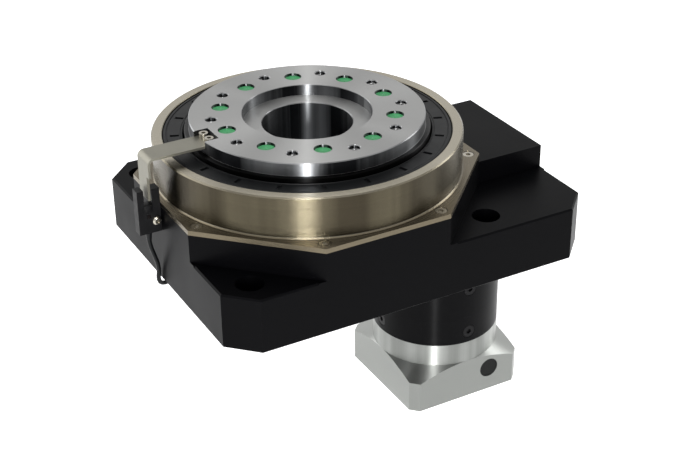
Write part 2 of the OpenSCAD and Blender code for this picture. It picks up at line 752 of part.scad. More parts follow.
module sensor_bracket() color("#3a3c3e") difference() {
    union() {
        translate([sensor_x - sensor_w + 1, bracket_y, sensor_z + 1])
            cube([sensor_w - 1 + sensor_gap, bracket_t, bracket_top - sensor_z - 1]);
        translate([-half_w - bracket_t, bracket_y, sensor_z + 1])
            cube([bracket_t, bracket_flange, bracket_top - sensor_z - 1]);
    }
    translate([sensor_screw_x, 0, sensor_screw_z]) rotate([-90, 0, 0])
        cylinder(r = m3[0] + seat_gap, h = 20);
    translate([-half_w - 5, bracket_y + bracket_flange / 2 + 1, sensor_screw_z])
        rotate([0, 90, 0]) cylinder(r = m3[0] + 0.2, h = 10);
}

module sensor_screw() color("#c9ccce")
    translate([sensor_screw_x, -sensor_front, sensor_screw_z]) rotate([90, 0, 0]) rotate(30)
        pan_screw(m3, sensor_d + bracket_t);

module bracket_screw() color("#c9ccce")
    translate([-half_w - bracket_t, bracket_y + bracket_flange / 2 + 1, sensor_screw_z])
        rotate([0, -90, 0]) pan_screw(m3, 7);

// ---------------------------------------------------------------- sensor lead

// Smooth curve through the route's points
function curve_point(a, b, c, d, t) =
    0.5 * ((2 * b) + (c - a) * t + (2 * a - 5 * b + 4 * c - d) * t * t
        + (3 * b - a - 3 * c + d) * t * t * t);

function curve(p, steps) =
    [for (i = [0 : len(p) - 2], k = [0 : steps - 1])
        curve_point(p[max(i - 1, 0)], p[i], p[i + 1], p[min(i + 2, len(p) - 1)], k / steps),
     p[len(p) - 1]];

function unit(v) = v / norm(v);

function ring_at(p, i, r, sides) =
    let (t = unit(p[min(i + 1, len(p) - 1)] - p[max(i - 1, 0)]),
         u = unit(cross(t, [0, 1, 0])), v = cross(t, u))
    [for (k = [0 : sides - 1])
        p[i] + r * (cos(360 * k / sides) * u + sin(360 * k / sides) * v)];

module swept_lead(p, r, sides) {
    n = len(p);
    polyhedron(
        points = [for (i = [0 : n - 1]) each ring_at(p, i, r, sides)],
        faces = [[for (k = [0 : sides - 1]) k],
            for (i = [0 : n - 2], k = [0 : sides - 1])
                let (a = i * sides + k, b = i * sides + (k + 1) % sides)
                [a, a + sides, b + sides, b],
            [for (k = [sides - 1 : -1 : 0]) (n - 1) * sides + k]]);
}

module sensor_cable() color("#1b1c1d")
    swept_lead(curve(lead_route, lead_steps), lead_d / 2, lead_sides);

module cable_coil() color("#1b1c1d")
    translate([axle_x, coil_y, coil_z]) rotate([90, 0, 0])
        rotate_extrude() translate([coil_r, 0]) circle(r = bundle_r, $fn = 24);

module strap_loop(grow) {
    hull() {
        translate([axle_x, 0]) circle(r = box_r + grow, $fn = 64);
        translate([axle_x, coil_y + bundle_r / 2])
            square([2 * (coil_r + bundle_r + grow), bundle_r + 2 * grow], center = true);
    }
}

module cable_strap() color("#1d1e1f")
    translate([0, 0, coil_z - strap_w / 2]) linear_extrude(height = strap_w)
        difference() {
            strap_loop(0.1 + strap_t);
            strap_loop(0.1);
        }

// ---------------------------------------------------------------- gearbox

module pinion() color("#8d9195") translate([axle_x, 0, 0]) difference() {
    translate([0, 0, pinion_z]) rotate([0, 0, 180 + 180 / pinion_n])
        spur_gear(gear_m, pinion_n, pinion_top - pinion_z);
    cylinder(r = shaft_r + seat_gap, h = 2 * pinion_top);
    translate([0, -key_w / 2, 0]) cube([shaft_r + 2.8, key_w, 2 * pinion_top]);
}

module pinion_key() color("#6f7377") translate([axle_x, 0, 0])
    translate([shaft_r - 3.4, seat_gap - key_w / 2, pinion_z + 1])
        cube([6, key_w - 2 * seat_gap, pinion_top - pinion_z - 2]);

module pinion_circlip() color("#4b4d50") translate([axle_x, 0, 0]) difference() {
    tube(shaft_r + 3.4, shaft_r - 0.9, pinion_top, pinion_top + circlip_t);
    translate([0, -2, 0]) cube([shaft_r + 5, 4, 2 * pinion_top]);
}

module output_shaft() color("#8d9195") translate([axle_x, 0, 0]) difference() {
    union() {
        translate([0, 0, ring_z1 + retainer_t]) cylinder(r = output_r, h = pinion_z - ring_z1 - retainer_t);
        translate([0, 0, pinion_z - 1]) cylinder(r = shaft_r, h = shaft_top - pinion_z + 1);
        translate([0, 0, carrier_top - eps]) cylinder(r = output_r + 3, h = output_bottom - carrier_top + eps);
        translate([0, 0, carrier_top - carrier_t]) cylinder(r = carrier_r, h = carrier_t);
    }
    ring_of(3, orbit_r) translate([0, 0, planet_top]) cylinder(r = planet_pin_r, h = carrier_t + 1);
    // groove for the retaining ring, and keyway
    tube(shaft_r + 1, shaft_r - 1, pinion_top, pinion_top + circlip_t);
    translate([shaft_r - 3.5, -key_w / 2, pinion_z + 1 - seat_gap])
        cube([6, key_w, pinion_top - pinion_z - 2 + 2 * seat_gap]);
}

out_pr = output_r + output_section / 2;
out_br = ball_share * output_section;

module output_pair() {
    for (k = [1, 2]) translate([axle_x, 0, output_top - k * output_w]) children();
}

module output_bearing_outer() color("#a7abae")
    output_pair() race(out_pr + 2, output_seat_r, out_pr, out_br, output_w);
module output_bearing_inner() color("#a7abae")
    output_pair() race(output_r + seat_gap, out_pr - 2, out_pr, out_br, output_w);
module output_balls() color("#d0d3d5")
    output_pair() balls(out_pr, out_br, 10, output_w);

module bearing_retainer() color("#7d8185")
    translate([axle_x, 0, 0]) tube(bore_r - seat_gap, out_pr + 2.5, ring_z1, output_bottom);

// Holes for one row of radial screws
module radial_row(z, r0, r1, r) {
    for (i = [0 : radial_n - 1]) rotate([0, 0, i * 360 / radial_n])
        translate([r0, 0, z]) rotate([0, 90, 0]) cylinder(r = r, h = r1 - r0);
}

module radial_screws(z, tip_r) {
    for (i = [0 : radial_n - 1]) rotate([0, 0, i * 360 / radial_n])
        translate([box_r - m5_flat[2] - 0.2, 0, z]) rotate([0, 90, 0])
            cap_screw(m5_flat, box_r - m5_flat[2] - 0.2 - tip_r);
}

module gearbox_body() color("#1c1d1e") translate([axle_x, 0, 0]) difference() {
    union() {
        translate([0, 0, adapter_top]) cylinder(r = box_r, h = box_len);
        cylinder(r = boss_seat_r, h = relief_h);
        cylinder(r = well_r - seat_gap, h = relief_h + spigot_h);
    }
    translate([0, 0, adapter_top - 1]) cylinder(r = bore_r, h = output_bottom - adapter_top + 1);
    translate([0, 0, output_bottom - 1]) cylinder(r = output_seat_r + seat_gap, h = 2 * output_w + 1);
    translate([0, 0, output_top - 1]) cylinder(r = output_r + 3, h = 20);
    ring_of(flange_bolt_n, flange_bolt_r, 30) {
        translate([0, 0, output_bottom - 1]) cylinder(r = m5[1] + 0.3, h = head_z - output_bottom + 1);
        translate([0, 0, head_z - 1]) cylinder(r = m5[0] + 0.25, h = 20);
    }
    for (z = [-ring_screw_z, -adapter_screw_z]) {
        radial_row(z, bore_r - 2, box_r + 2, m5_flat[0] + 0.2);
        radial_row(z, box_r - m5_flat[2] - 0.2, box_r + 2, m5_flat[1] + 0.25);
    }
}

module gearbox_screws() color("#3a3b3d") translate([axle_x, 0, 0])
    ring_of(flange_bolt_n, flange_bolt_r, 30)
        translate([0, 0, head_z]) mirror([0, 0, 1]) cap_screw(m5, 20);

module ring_gear() color("#85898d") translate([axle_x, 0, 0]) difference() {
    translate([0, 0, ring_z0]) cylinder(r = bore_r - seat_gap, h = ring_z1 - ring_z0);
    translate([0, 0, ring_z0 - 1]) linear_extrude(height = ring_z1 - ring_z0 + 2)
        polygon(gear_outline(planet_m, ring_n, planet_m * (ring_n / 2 - 1),
            planet_m * (ring_n / 2 + 1.25), -tooth_thin));
    radial_row(-ring_screw_z, bore_r - 6.5, box_r, m5_flat[0] + seat_gap);
}

module ring_gear_screws() color("#2c2d2f")
    translate([axle_x, 0, 0]) radial_screws(-ring_screw_z, bore_r - 6);

module adapter_screws() color("#2c2d2f")
    translate([axle_x, 0, 0]) radial_screws(-adapter_screw_z, input_seat_r + 0.8);

// A planet on the pin at angle a; a gap faces the sun and a tooth faces outwards
module planet_gear(a) {
    translate([axle_x, 0, 0]) rotate([0, 0, a]) translate([orbit_r, 0, planet_z])
        difference() {
            spur_gear(planet_m, planet_n, planet_w);
            translate([0, 0, -1]) cylinder(r = planet_pin_r + run_gap, h = planet_w + 2);
        }
}

module planet_gear_1() color("#9a9ea1") planet_gear(0);
module planet_gear_2() color("#9a9ea1") planet_gear(120);
module planet_gear_3() color("#9a9ea1") planet_gear(240);

module planet_pins() color("#c3c7c9") translate([axle_x, 0, 0]) ring_of(3, orbit_r)
    translate([0, 0, plate_z]) cylinder(r = planet_pin_r - seat_gap, h = carrier_top - plate_z);

module carrier_plate() color("#8d9195") translate([axle_x, 0, 0]) difference() {
    tube(carrier_r, planet_m * (sun_n / 2 + 1) + 1, plate_z, plate_top);
    ring_of(3, orbit_r) translate([0, 0, plate_z - 1])
        cylinder(r = planet_pin_r, h = carrier_plate_t + 2);
}

module input_shaft() color("#9a9ea1") translate([axle_x, 0, 0]) difference() {
    union() {
        translate([0, 0, planet_z]) spur_gear(planet_m, sun_n, planet_w - 0.5);
        translate([0, 0, hub_top - 1]) cylinder(r = planet_m * (sun_n / 2 - 1.25), h = planet_z - hub_top + 1);
        translate([0, 0, input_bottom]) cylinder(d = input_d, h = hub_top - input_bottom);
        translate([0, 0, clamp_z]) cylinder(d = clamp_sleeve_d, h = input_bottom - clamp_z);
    }
    translate([0, 0, clamp_z - 1]) cylinder(d = clamp_bore, h = input_bottom - clamp_z + 1);
    // slits that let the sleeve close on the motor shaft
    translate([-clamp_sleeve_d, -0.6, clamp_z - 1])
        cube([2 * clamp_sleeve_d, 1.2, clamp_h + 12]);
}

in_pr = input_r + input_section / 2;
in_br = ball_share * input_section;

module input_bearing_outer() color("#a7abae") translate([axle_x, 0, input_bottom])
    race(in_pr + 2, input_seat_r, in_pr, in_br, input_w);
module input_bearing_inner() color("#a7abae") translate([axle_x, 0, input_bottom])
    race(input_r + seat_gap, in_pr - 2, in_pr, in_br, input_w);
module input_balls() color("#d0d3d5")
    translate([axle_x, 0, input_bottom]) balls(in_pr, in_br, 13, input_w);

module clamp_collar() color("#3d4043") translate([axle_x, 0, 0]) difference() {
    tube(clamp_d / 2, clamp_sleeve_d / 2 + seat_gap, clamp_z + 1, clamp_z + 1 + clamp_h);
    translate([0, -clamp_slit / 2, clamp_z])
        cube([clamp_d, clamp_slit, clamp_h + 2]);
    translate([clamp_screw_x, 0, clamp_screw_z]) rotate([90, 0, 0]) {
        cylinder(r = m5[0] + seat_gap, h = clamp_d, center = true);
        translate([0, 0, 10]) cylinder(r = m5[1] + 0.2, h = clamp_d);
    }
}

module clamp_screw() color("#2c2d2f")
    translate([access_x, 0, clamp_screw_z]) rotate([90, 0, 0])
        translate([0, 0, 10]) cap_screw(m5, 22);

module motor_adapter() color("#a9aca8") translate([axle_x, 0, 0]) difference() {
    union() {
        translate([0, 0, adapter_top - eps]) cylinder(r = bore_r - seat_gap, h = input_top - adapter_top + eps);
        translate([0, 0, flare_top]) cylinder(r = box_r, h = collar_len);
        intersection() {
            union() {
                translate([0, 0, flare_z])
                    cylinder(r1 = flare_r, r2 = box_r, h = flare_h);
                translate([0, 0, adapter_z]) cylinder(r = box_d, h = flare_z - adapter_z + eps);
            }
            translate([0, 0, adapter_z])
                cut_rectangle(-box_r, box_r, -box_r, box_r, adapter_cut, adapter_len);
        }
    }
    translate([0, 0, adapter_z - 1]) cylinder(r = cavity_r, h = 2 * adapter_len);
    translate([0, 0, adapter_z - 1]) cylinder(d = pilot_motor_d, h = pilot_motor_depth + 1);
    translate([0, 0, input_bottom]) cylinder(r = input_seat_r + seat_gap, h = 2 * input_w);
    ring_of(4, motor_pcd / 2, 45) translate([0, 0, adapter_z - 1]) cylinder(d = motor_tap_d, h = 16);
    radial_row(-adapter_screw_z, input_seat_r, box_r, m5_flat[0] + seat_gap);
    translate([clamp_screw_x, 0, clamp_screw_z]) rotate([90, 0, 0])
        cylinder(d = access_d, h = box_d);
}

module access_plug() color("#4c5350")
    translate([access_x, 0.5 - box_r, clamp_screw_z]) rotate([-90, 0, 0])
        cylinder(r = access_d / 2 - seat_gap, h = 4);

// ---------------------------------------------------------------- assembly

housing();
ring_cover();
cover_screws();
table_seal();
outer_race_upper();
outer_race_lower();
inner_race();
cross_rollers();
rotary_table();
table_plugs();
gear_screws();
main_gear();
lower_bearing_outer();
lower_bearing_inner();
lower_balls();
lower_seal();
base_cover();
base_cover_screws();
home_dog();
dog_screws();
sensor();
sensor_lens();
sensor_bracket();
sensor_screw();
bracket_screw();
sensor_cable();
cable_coil();
cable_strap();
pinion();
pinion_key();
pinion_circlip();
output_shaft();
output_bearing_outer();
output_bearing_inner();
output_balls();
bearing_retainer();
gearbox_body();
gearbox_screws();
ring_gear();
ring_gear_screws();
planet_gear_1();
planet_gear_2();
planet_gear_3();
planet_pins();
carrier_plate();
input_shaft();
input_bearing_outer();
input_bearing_inner();
input_balls();
clamp_collar();
clamp_screw();
motor_adapter();
adapter_screws();
access_plug();
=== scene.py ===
"""Looks of a hollow rotary platform: its finishes, lead, small trim, light and camera."""
import json
import logging
import math
from dataclasses import dataclass, field, replace
from enum import Enum

import bmesh
import bpy
from mathutils import Matrix, Vector


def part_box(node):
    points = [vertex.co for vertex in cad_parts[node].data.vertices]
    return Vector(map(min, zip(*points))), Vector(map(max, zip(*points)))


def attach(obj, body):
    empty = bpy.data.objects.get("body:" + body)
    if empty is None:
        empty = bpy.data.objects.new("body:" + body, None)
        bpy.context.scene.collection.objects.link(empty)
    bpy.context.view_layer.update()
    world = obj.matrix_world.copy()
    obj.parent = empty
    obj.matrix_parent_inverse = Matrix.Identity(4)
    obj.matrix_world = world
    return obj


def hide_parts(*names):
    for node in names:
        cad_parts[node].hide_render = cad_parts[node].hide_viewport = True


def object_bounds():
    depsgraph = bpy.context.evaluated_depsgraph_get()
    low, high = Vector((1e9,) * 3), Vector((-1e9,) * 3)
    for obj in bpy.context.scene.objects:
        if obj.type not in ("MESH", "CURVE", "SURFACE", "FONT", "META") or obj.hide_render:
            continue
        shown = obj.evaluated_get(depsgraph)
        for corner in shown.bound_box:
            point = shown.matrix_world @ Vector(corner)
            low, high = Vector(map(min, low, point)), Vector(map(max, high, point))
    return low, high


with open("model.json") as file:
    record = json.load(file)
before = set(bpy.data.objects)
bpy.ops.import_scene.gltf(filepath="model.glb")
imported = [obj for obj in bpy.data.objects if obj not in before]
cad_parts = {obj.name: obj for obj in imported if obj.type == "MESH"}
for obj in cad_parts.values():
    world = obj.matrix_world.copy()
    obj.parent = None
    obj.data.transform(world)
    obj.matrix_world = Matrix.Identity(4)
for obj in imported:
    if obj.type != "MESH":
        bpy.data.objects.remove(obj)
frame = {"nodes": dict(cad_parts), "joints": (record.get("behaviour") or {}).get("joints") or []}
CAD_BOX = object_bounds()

LOG = logging.getLogger("platform")
MM = 0.001
# how far the gearbox's axis stands along X from the table's
AXLE_X = next(j["pos_m"][0] for j in frame["joints"] if j["name"] == "output_spin")
# edges with a greater angle than this, in degrees, stay sharp
SHARP = 35.0
# the curve's bevel resolution for a cord, which gives its section 4 + 2 * 4 = 12 sides
CORD_ROUNDING = 4
# most of a noise's values lie between these
NOISE_SPAN = (0.3, 0.7)


class Body(Enum):
    """CAD bodies that the pieces ride on."""

    ROOT = "root"
    TABLE = "table"


def linear(hex_code: str) -> tuple[float, float, float, float]:
    """Turns an sRGB hex colour to linear red, green, blue and alpha.

    Args:
        hex_code: six digits, such as "9c9c9c".

    Returns:
        Four numbers, with an alpha of 1.
    """
    values = [int(hex_code[i:i + 2], 16) / 255 for i in (0, 2, 4)]
    straight, slope, lift, power = 0.04045, 12.92, 0.055, 2.4
    curved = [v / slope if v <= straight else ((v + lift) / (1 + lift)) ** power for v in values]
    return (*curved, 1.0)


def add_node(tree: bpy.types.NodeTree, kind: str, settings: dict | None = None,
             **inputs: object) -> bpy.types.Node:
    """Adds a node, sets its properties, and sets or links its inputs.

    Args:
        tree: the node tree.
        kind: the node's class without "ShaderNode".
        settings: properties of the node, by name.
        inputs: constants or output sockets; a name is a socket's name with underscores, and
            in0, in1 and so on are sockets by number.

    Returns:
        The new node.
    """
    node = tree.nodes.new("ShaderNode" + kind)
    for name, value in (settings or {}).items():
        setattr(node, name, value)
    for name, value in inputs.items():
        by_number = name[:2] == "in" and name[2:].isdigit()
        socket = node.inputs[int(name[2:]) if by_number else name.replace("_", " ")]
        if isinstance(value, bpy.types.NodeSocket):
            tree.links.new(value, socket)
        else:
            socket.default_value = value
    return node


def cleared(owner: bpy.types.Material | bpy.types.World) -> bpy.types.NodeTree:
    """Turns on the nodes of a material or a world, and empties them.

    Args:
        owner: the material or world.

    Returns:
        Its empty node tree.
    """
    owner.use_nodes = True
    owner.node_tree.nodes.clear()
    return owner.node_tree


def ramp(tree: bpy.types.NodeTree, fac: bpy.types.NodeSocket,
         stops: list[tuple[float, tuple]]) -> bpy.types.NodeSocket:
    """Adds a colour ramp.

    Args:
        tree: the node tree.
        fac: what drives the ramp.
        stops: positions and colours, in order.

    Returns:
        The ramp's colour socket.
    """
    node = add_node(tree, "ValToRGB", None, Fac=fac)
    points = node.color_ramp.elements
    while len(points) < len(stops):
        points.new(1.0)
    for point, (position, colour) in zip(points, stops):
        point.position = position
        point.color = colour
    return node.outputs["Color"]


def shade(hex_code: str, factor: float) -> tuple[float, float, float, float]:
    """Returns a linear colour made lighter or darker by a factor."""
    r, g, b, a = linear(hex_code)
    return (min(r * factor, 1.0), min(g * factor, 1.0), min(b * factor, 1.0), a)


@dataclass(frozen=True)
class Finish:
    """A finish: its name, colour and the shader's plain numbers.

    A metal keeps the shader's own IOR and specular level.
    """

    name: str
    colour: str
    roughness: float
    metallic: float = 0.0
    ior: float = 1.5
    specular: float = 0.5

    def start(self) -> tuple[bpy.types.Material, bpy.types.NodeTree, bpy.types.Node]:
        """Makes the material with its shader and plain numbers.

        Returns:
            The material, its node tree and its shader.
        """
        made = bpy.data.materials.new(self.name)
        made.diffuse_color = linear(self.colour)
        tree = cleared(made)
        shader = add_node(tree, "BsdfPrincipled", None, Base_Color=linear(self.colour),
                          Roughness=self.roughness, Metallic=self.metallic)
        if self.metallic < 0.5:
            shader.inputs["IOR"].default_value = self.ior
            shader.inputs["Specular IOR Level"].default_value = self.specular
        add_node(tree, "OutputMaterial", None, Surface=shader.outputs[0])
        return made, tree, shader

    def noise(self, tree: bpy.types.NodeTree, vector: bpy.types.NodeSocket, size: float,
              detail: float = 2.0) -> bpy.types.NodeSocket:
        """Adds a noise whose features are about size metres across."""
        return add_node(tree, "TexNoise", None, Vector=vector, Scale=1 / size,
                        Detail=detail).outputs["Fac"]

    def spread(self, tree: bpy.types.NodeTree, shader: bpy.types.Node,
               fac: bpy.types.NodeSocket, colour: float, rough: float) -> bpy.types.NodeSocket:
        """Varies the colour and roughness by a pattern.

        Args:
            tree: the node tree.
            shader: the shader to vary.
            fac: the pattern, from 0 to 1.
            colour: how much the colour varies, as a share of itself.
            rough: how much the roughness varies, each way.

        Returns:
            The varied colour.
        """
        low, high = NOISE_SPAN
        tint = ramp(tree, fac, [(low, shade(self.colour, 1 - colour)),
                                (high, shade(self.colour, 1 + colour))])
        tree.links.new(tint, shader.inputs["Base Color"])
        level = add_node(tree, "MapRange", None, Value=fac, From_Min=low, From_Max=high,
                         To_Min=self.roughness - rough, To_Max=self.roughness + rough)
        tree.links.new(level.outputs[0], shader.inputs["Roughness"])
        return tint

    def bump(self, tree: bpy.types.NodeTree, shader: bpy.types.Node,
             height: bpy.types.NodeSocket, strength: float, depth: float) -> None:
        """Adds a bump of the given depth, in metres, to the shader."""
        node = add_node(tree, "Bump", None, Strength=strength, Distance=depth, Height=height)
        tree.links.new(node.outputs[0], shader.inputs["Normal"])


@dataclass(frozen=True)
class Blasted(Finish):
    """Metal, plated, oxidised or anodised, with an even grain and no direction.

    A real grain is about 0.1 mm across. It is drawn at 0.3 mm and more, so that it shows.
    """

    grain: float = 0.35 * MM
    patch: float = 30 * MM
    depth: float = 0.02 * MM
    strength: float = 0.35
    mottle: float = 0.06
    rough_spread: float = 0.03

    def build(self) -> bpy.types.Material:
        """Makes the material: a fine grain under broad, faint patches.

        Returns:
            The material.
        """
        made, tree, shader = self.start()
        place = add_node(tree, "TexCoord").outputs["Object"]
        self.spread(tree, shader, self.noise(tree, place, self.patch), self.mottle,
                    self.rough_spread)
        self.bump(tree, shader, self.noise(tree, place, self.grain, 3), self.strength, self.depth)
        return made


@dataclass(frozen=True)
class Turned(Finish):
    """Metal turned or ground on a spindle: fine rings round an upright axis.

    Faces that look up or down have the finish's colour. Upright walls can have painted shade:
    two darker colours, in faint upright bands of painted reflection that change with the way
    the wall faces. What lies beyond a radius can have a darker painted shade.

    A finishing tool leaves a ring about every 0.1 mm. The rings are drawn 0.5 mm apart and
    more, so that they show, and so is a plated face's grain.
    """

    centre: tuple[float, float] = (0.0, 0.0)
    # how far apart the fine rings are, and how many of those the broad rings are apart
    pitch: float = 0.5 * MM
    broad: float = 14.0
    depth: float = 0.004 * MM
    strength: float = 0.5
    mottle: float = 0.05
    rough_spread: float = 0.04
    anisotropy: float = 0.6
    streak_turn: float = 0.25
    # painted shade for upright walls: two colours, laid in bands of painted reflection
    painted_wall_shade_bands: tuple[str, str] | None = None
    # the normal's height where a face starts to take the painted wall shade, and where it takes it wholly
    wall_tilt: tuple[float, float] = (0.95, 0.6)
    # how close the bands of painted reflection stand, what part of their noise the two
    # colours of painted shade span, how much closer the fine bands stand, and their share
    bands: float = 5.0
    band_span: tuple[float, float] = (0.38, 0.62)
    fine_bands: float = 14.0
    fine: float = 0.1
    grain: float = 0.0
    grain_strength: float = 0.3
    # painted shade: past this radius, over this fade, the colour turns to this darker one
    painted_shade_beyond: float = 0.0
    painted_shade_fade: float = 0.2 * MM
    dark: str = "0b0b0b"

    def build(self) -> bpy.types.Material:
        """Makes the material: rings of slightly different height and gloss.

        Returns:
            The material.
        """
        made, tree, shader = self.start()
        spots = add_node(tree, "TexCoord")
        place = spots.outputs["Object"]
        moved = add_node(tree, "Mapping", None, Vector=place,
                         Location=(-self.centre[0], -self.centre[1], 0)).outputs[0]
        parts = add_node(tree, "SeparateXYZ", None, Vector=moved)
        flat = add_node(tree, "CombineXYZ", None, X=parts.outputs[0], Y=parts.outputs[1])
        radius = add_node(tree, "VectorMath", {"operation": "LENGTH"},
                          in0=flat.outputs[0]).outputs["Value"]
        rings = add_node(tree, "CombineXYZ", None, X=radius, Y=parts.outputs[2])
        lines = self.noise(tree, rings.outputs[0], self.pitch, 4)
        broad = self.noise(tree, rings.outputs[0], self.broad * self.pitch, 3)
        mixed = self.blend(tree, lines, broad, 0.5)
        tint = self.spread(tree, shader, mixed, self.mottle, self.rough_spread)
        # upright walls take painted shade, in bands of painted reflection by the way they face
        if self.painted_wall_shade_bands:
            tint = self.upright(tree, spots.outputs["Normal"], tint)
        # painted shade beyond a radius: the nickel plate outside the ring, the table's shoulder by the
        # seal
        if self.painted_shade_beyond:
            edge = add_node(tree, "MapRange", None, Value=radius, From_Min=self.painted_shade_beyond,
                            From_Max=self.painted_shade_beyond + self.painted_shade_fade)
            tint = add_node(tree, "Mix", {"data_type": "RGBA"}, in0=edge.outputs[0], in6=tint,
                            in7=linear(self.dark)).outputs[2]
        tree.links.new(tint, shader.inputs["Base Color"])
        height = lines
        if self.grain:
            sand = self.noise(tree, place, self.grain, 3)
            height = add_node(tree, "Math", {"operation": "MULTIPLY_ADD"}, in0=sand,
                              in1=self.grain_strength, in2=lines).outputs[0]
        self.bump(tree, shader, height, self.strength, self.depth)
        if self.anisotropy:
            shader.inputs["Anisotropic"].default_value = self.anisotropy
            shader.inputs["Anisotropic Rotation"].default_value = self.streak_turn
            around = add_node(tree, "Tangent", {"direction_type": "RADIAL", "axis": "Z"})
            tree.links.new(around.outputs[0], shader.inputs["Tangent"])
        return made

    def blend(self, tree: bpy.types.NodeTree, first: bpy.types.NodeSocket,
              second: bpy.types.NodeSocket, share: float) -> bpy.types.NodeSocket:
        """Adds two patterns, each by its share.

        Args:
            tree: the node tree.
            first: the first pattern.
            second: the second pattern.
            share: the first pattern's share, from 0 to 1.

        Returns:
            The sum.
        """
        rest = add_node(tree, "Math", {"operation": "MULTIPLY"}, in0=second, in1=1 - share)
        return add_node(tree, "Math", {"operation": "MULTIPLY_ADD"}, in0=first, in1=share,
                        in2=rest.outputs[0]).outputs[0]

    def upright(self, tree: bpy.types.NodeTree, normal: bpy.types.NodeSocket,
                tint: bpy.types.NodeSocket) -> bpy.types.NodeSocket:
        """Paints shade on upright walls, in bands of painted reflection that stand round the axis.

        Args:
            tree: the node tree.
            normal: the surface's direction on the piece.
            tint: the colour of the flat faces.

        Returns:
            The colour of both.
        """
        turn = add_node(tree, "SeparateXYZ", None, Vector=normal)
        tilt = add_node(tree, "Math", {"operation": "ABSOLUTE"}, in0=turn.outputs[2])
        upright = add_node(tree, "MapRange", None, Value=tilt.outputs[0],
                           From_Min=self.wall_tilt[0], From_Max=self.wall_tilt[1])
        way = add_node(tree, "CombineXYZ", None, X=turn.outputs[0], Y=turn.outputs[1])
        coarse = self.noise(tree, way.outputs[0], 1 / self.bands, 2)
        fine = self.noise(tree, way.outputs[0], 1 / (self.fine_bands * self.bands), 3)
        both = self.blend(tree, fine, coarse, self.fine)
        bands = ramp(tree, both, [(self.band_span[0], linear(self.painted_wall_shade_bands[0])),
                                  (self.band_span[1], linear(self.painted_wall_shade_bands[1]))])
        return add_node(tree, "Mix", {"data_type": "RGBA"}, in0=upright.outputs[0], in6=tint,
                        in7=bands).outputs[2]


@dataclass(frozen=True)
class Moulded(Finish):
    """Moulded or extruded plastic or rubber: a faint grain and slight waviness.

    A moulding's grain is about 0.1 mm across. It is drawn at 0.3 mm and more, so that it shows.
    """

    grain: float = 0.6 * MM
    waves: float = 12.0
    depth: float = 0.03 * MM
    strength: float = 0.3
    mottle: float = 0.1
    rough_spread: float = 0.05

    def build(self) -> bpy.types.Material:
        """Makes the material: a grain over slightly uneven gloss.

        Returns:
            The material.
        """
        made, tree, shader = self.start()
        place = add_node(tree, "TexCoord").outputs["Object"]
        self.spread(tree, shader, self.noise(tree, place, self.waves * self.grain, 3),
                    self.mottle, self.rough_spread)
        self.bump(tree, shader, self.noise(tree, place, self.grain, 3), self.strength, self.depth)
        return made


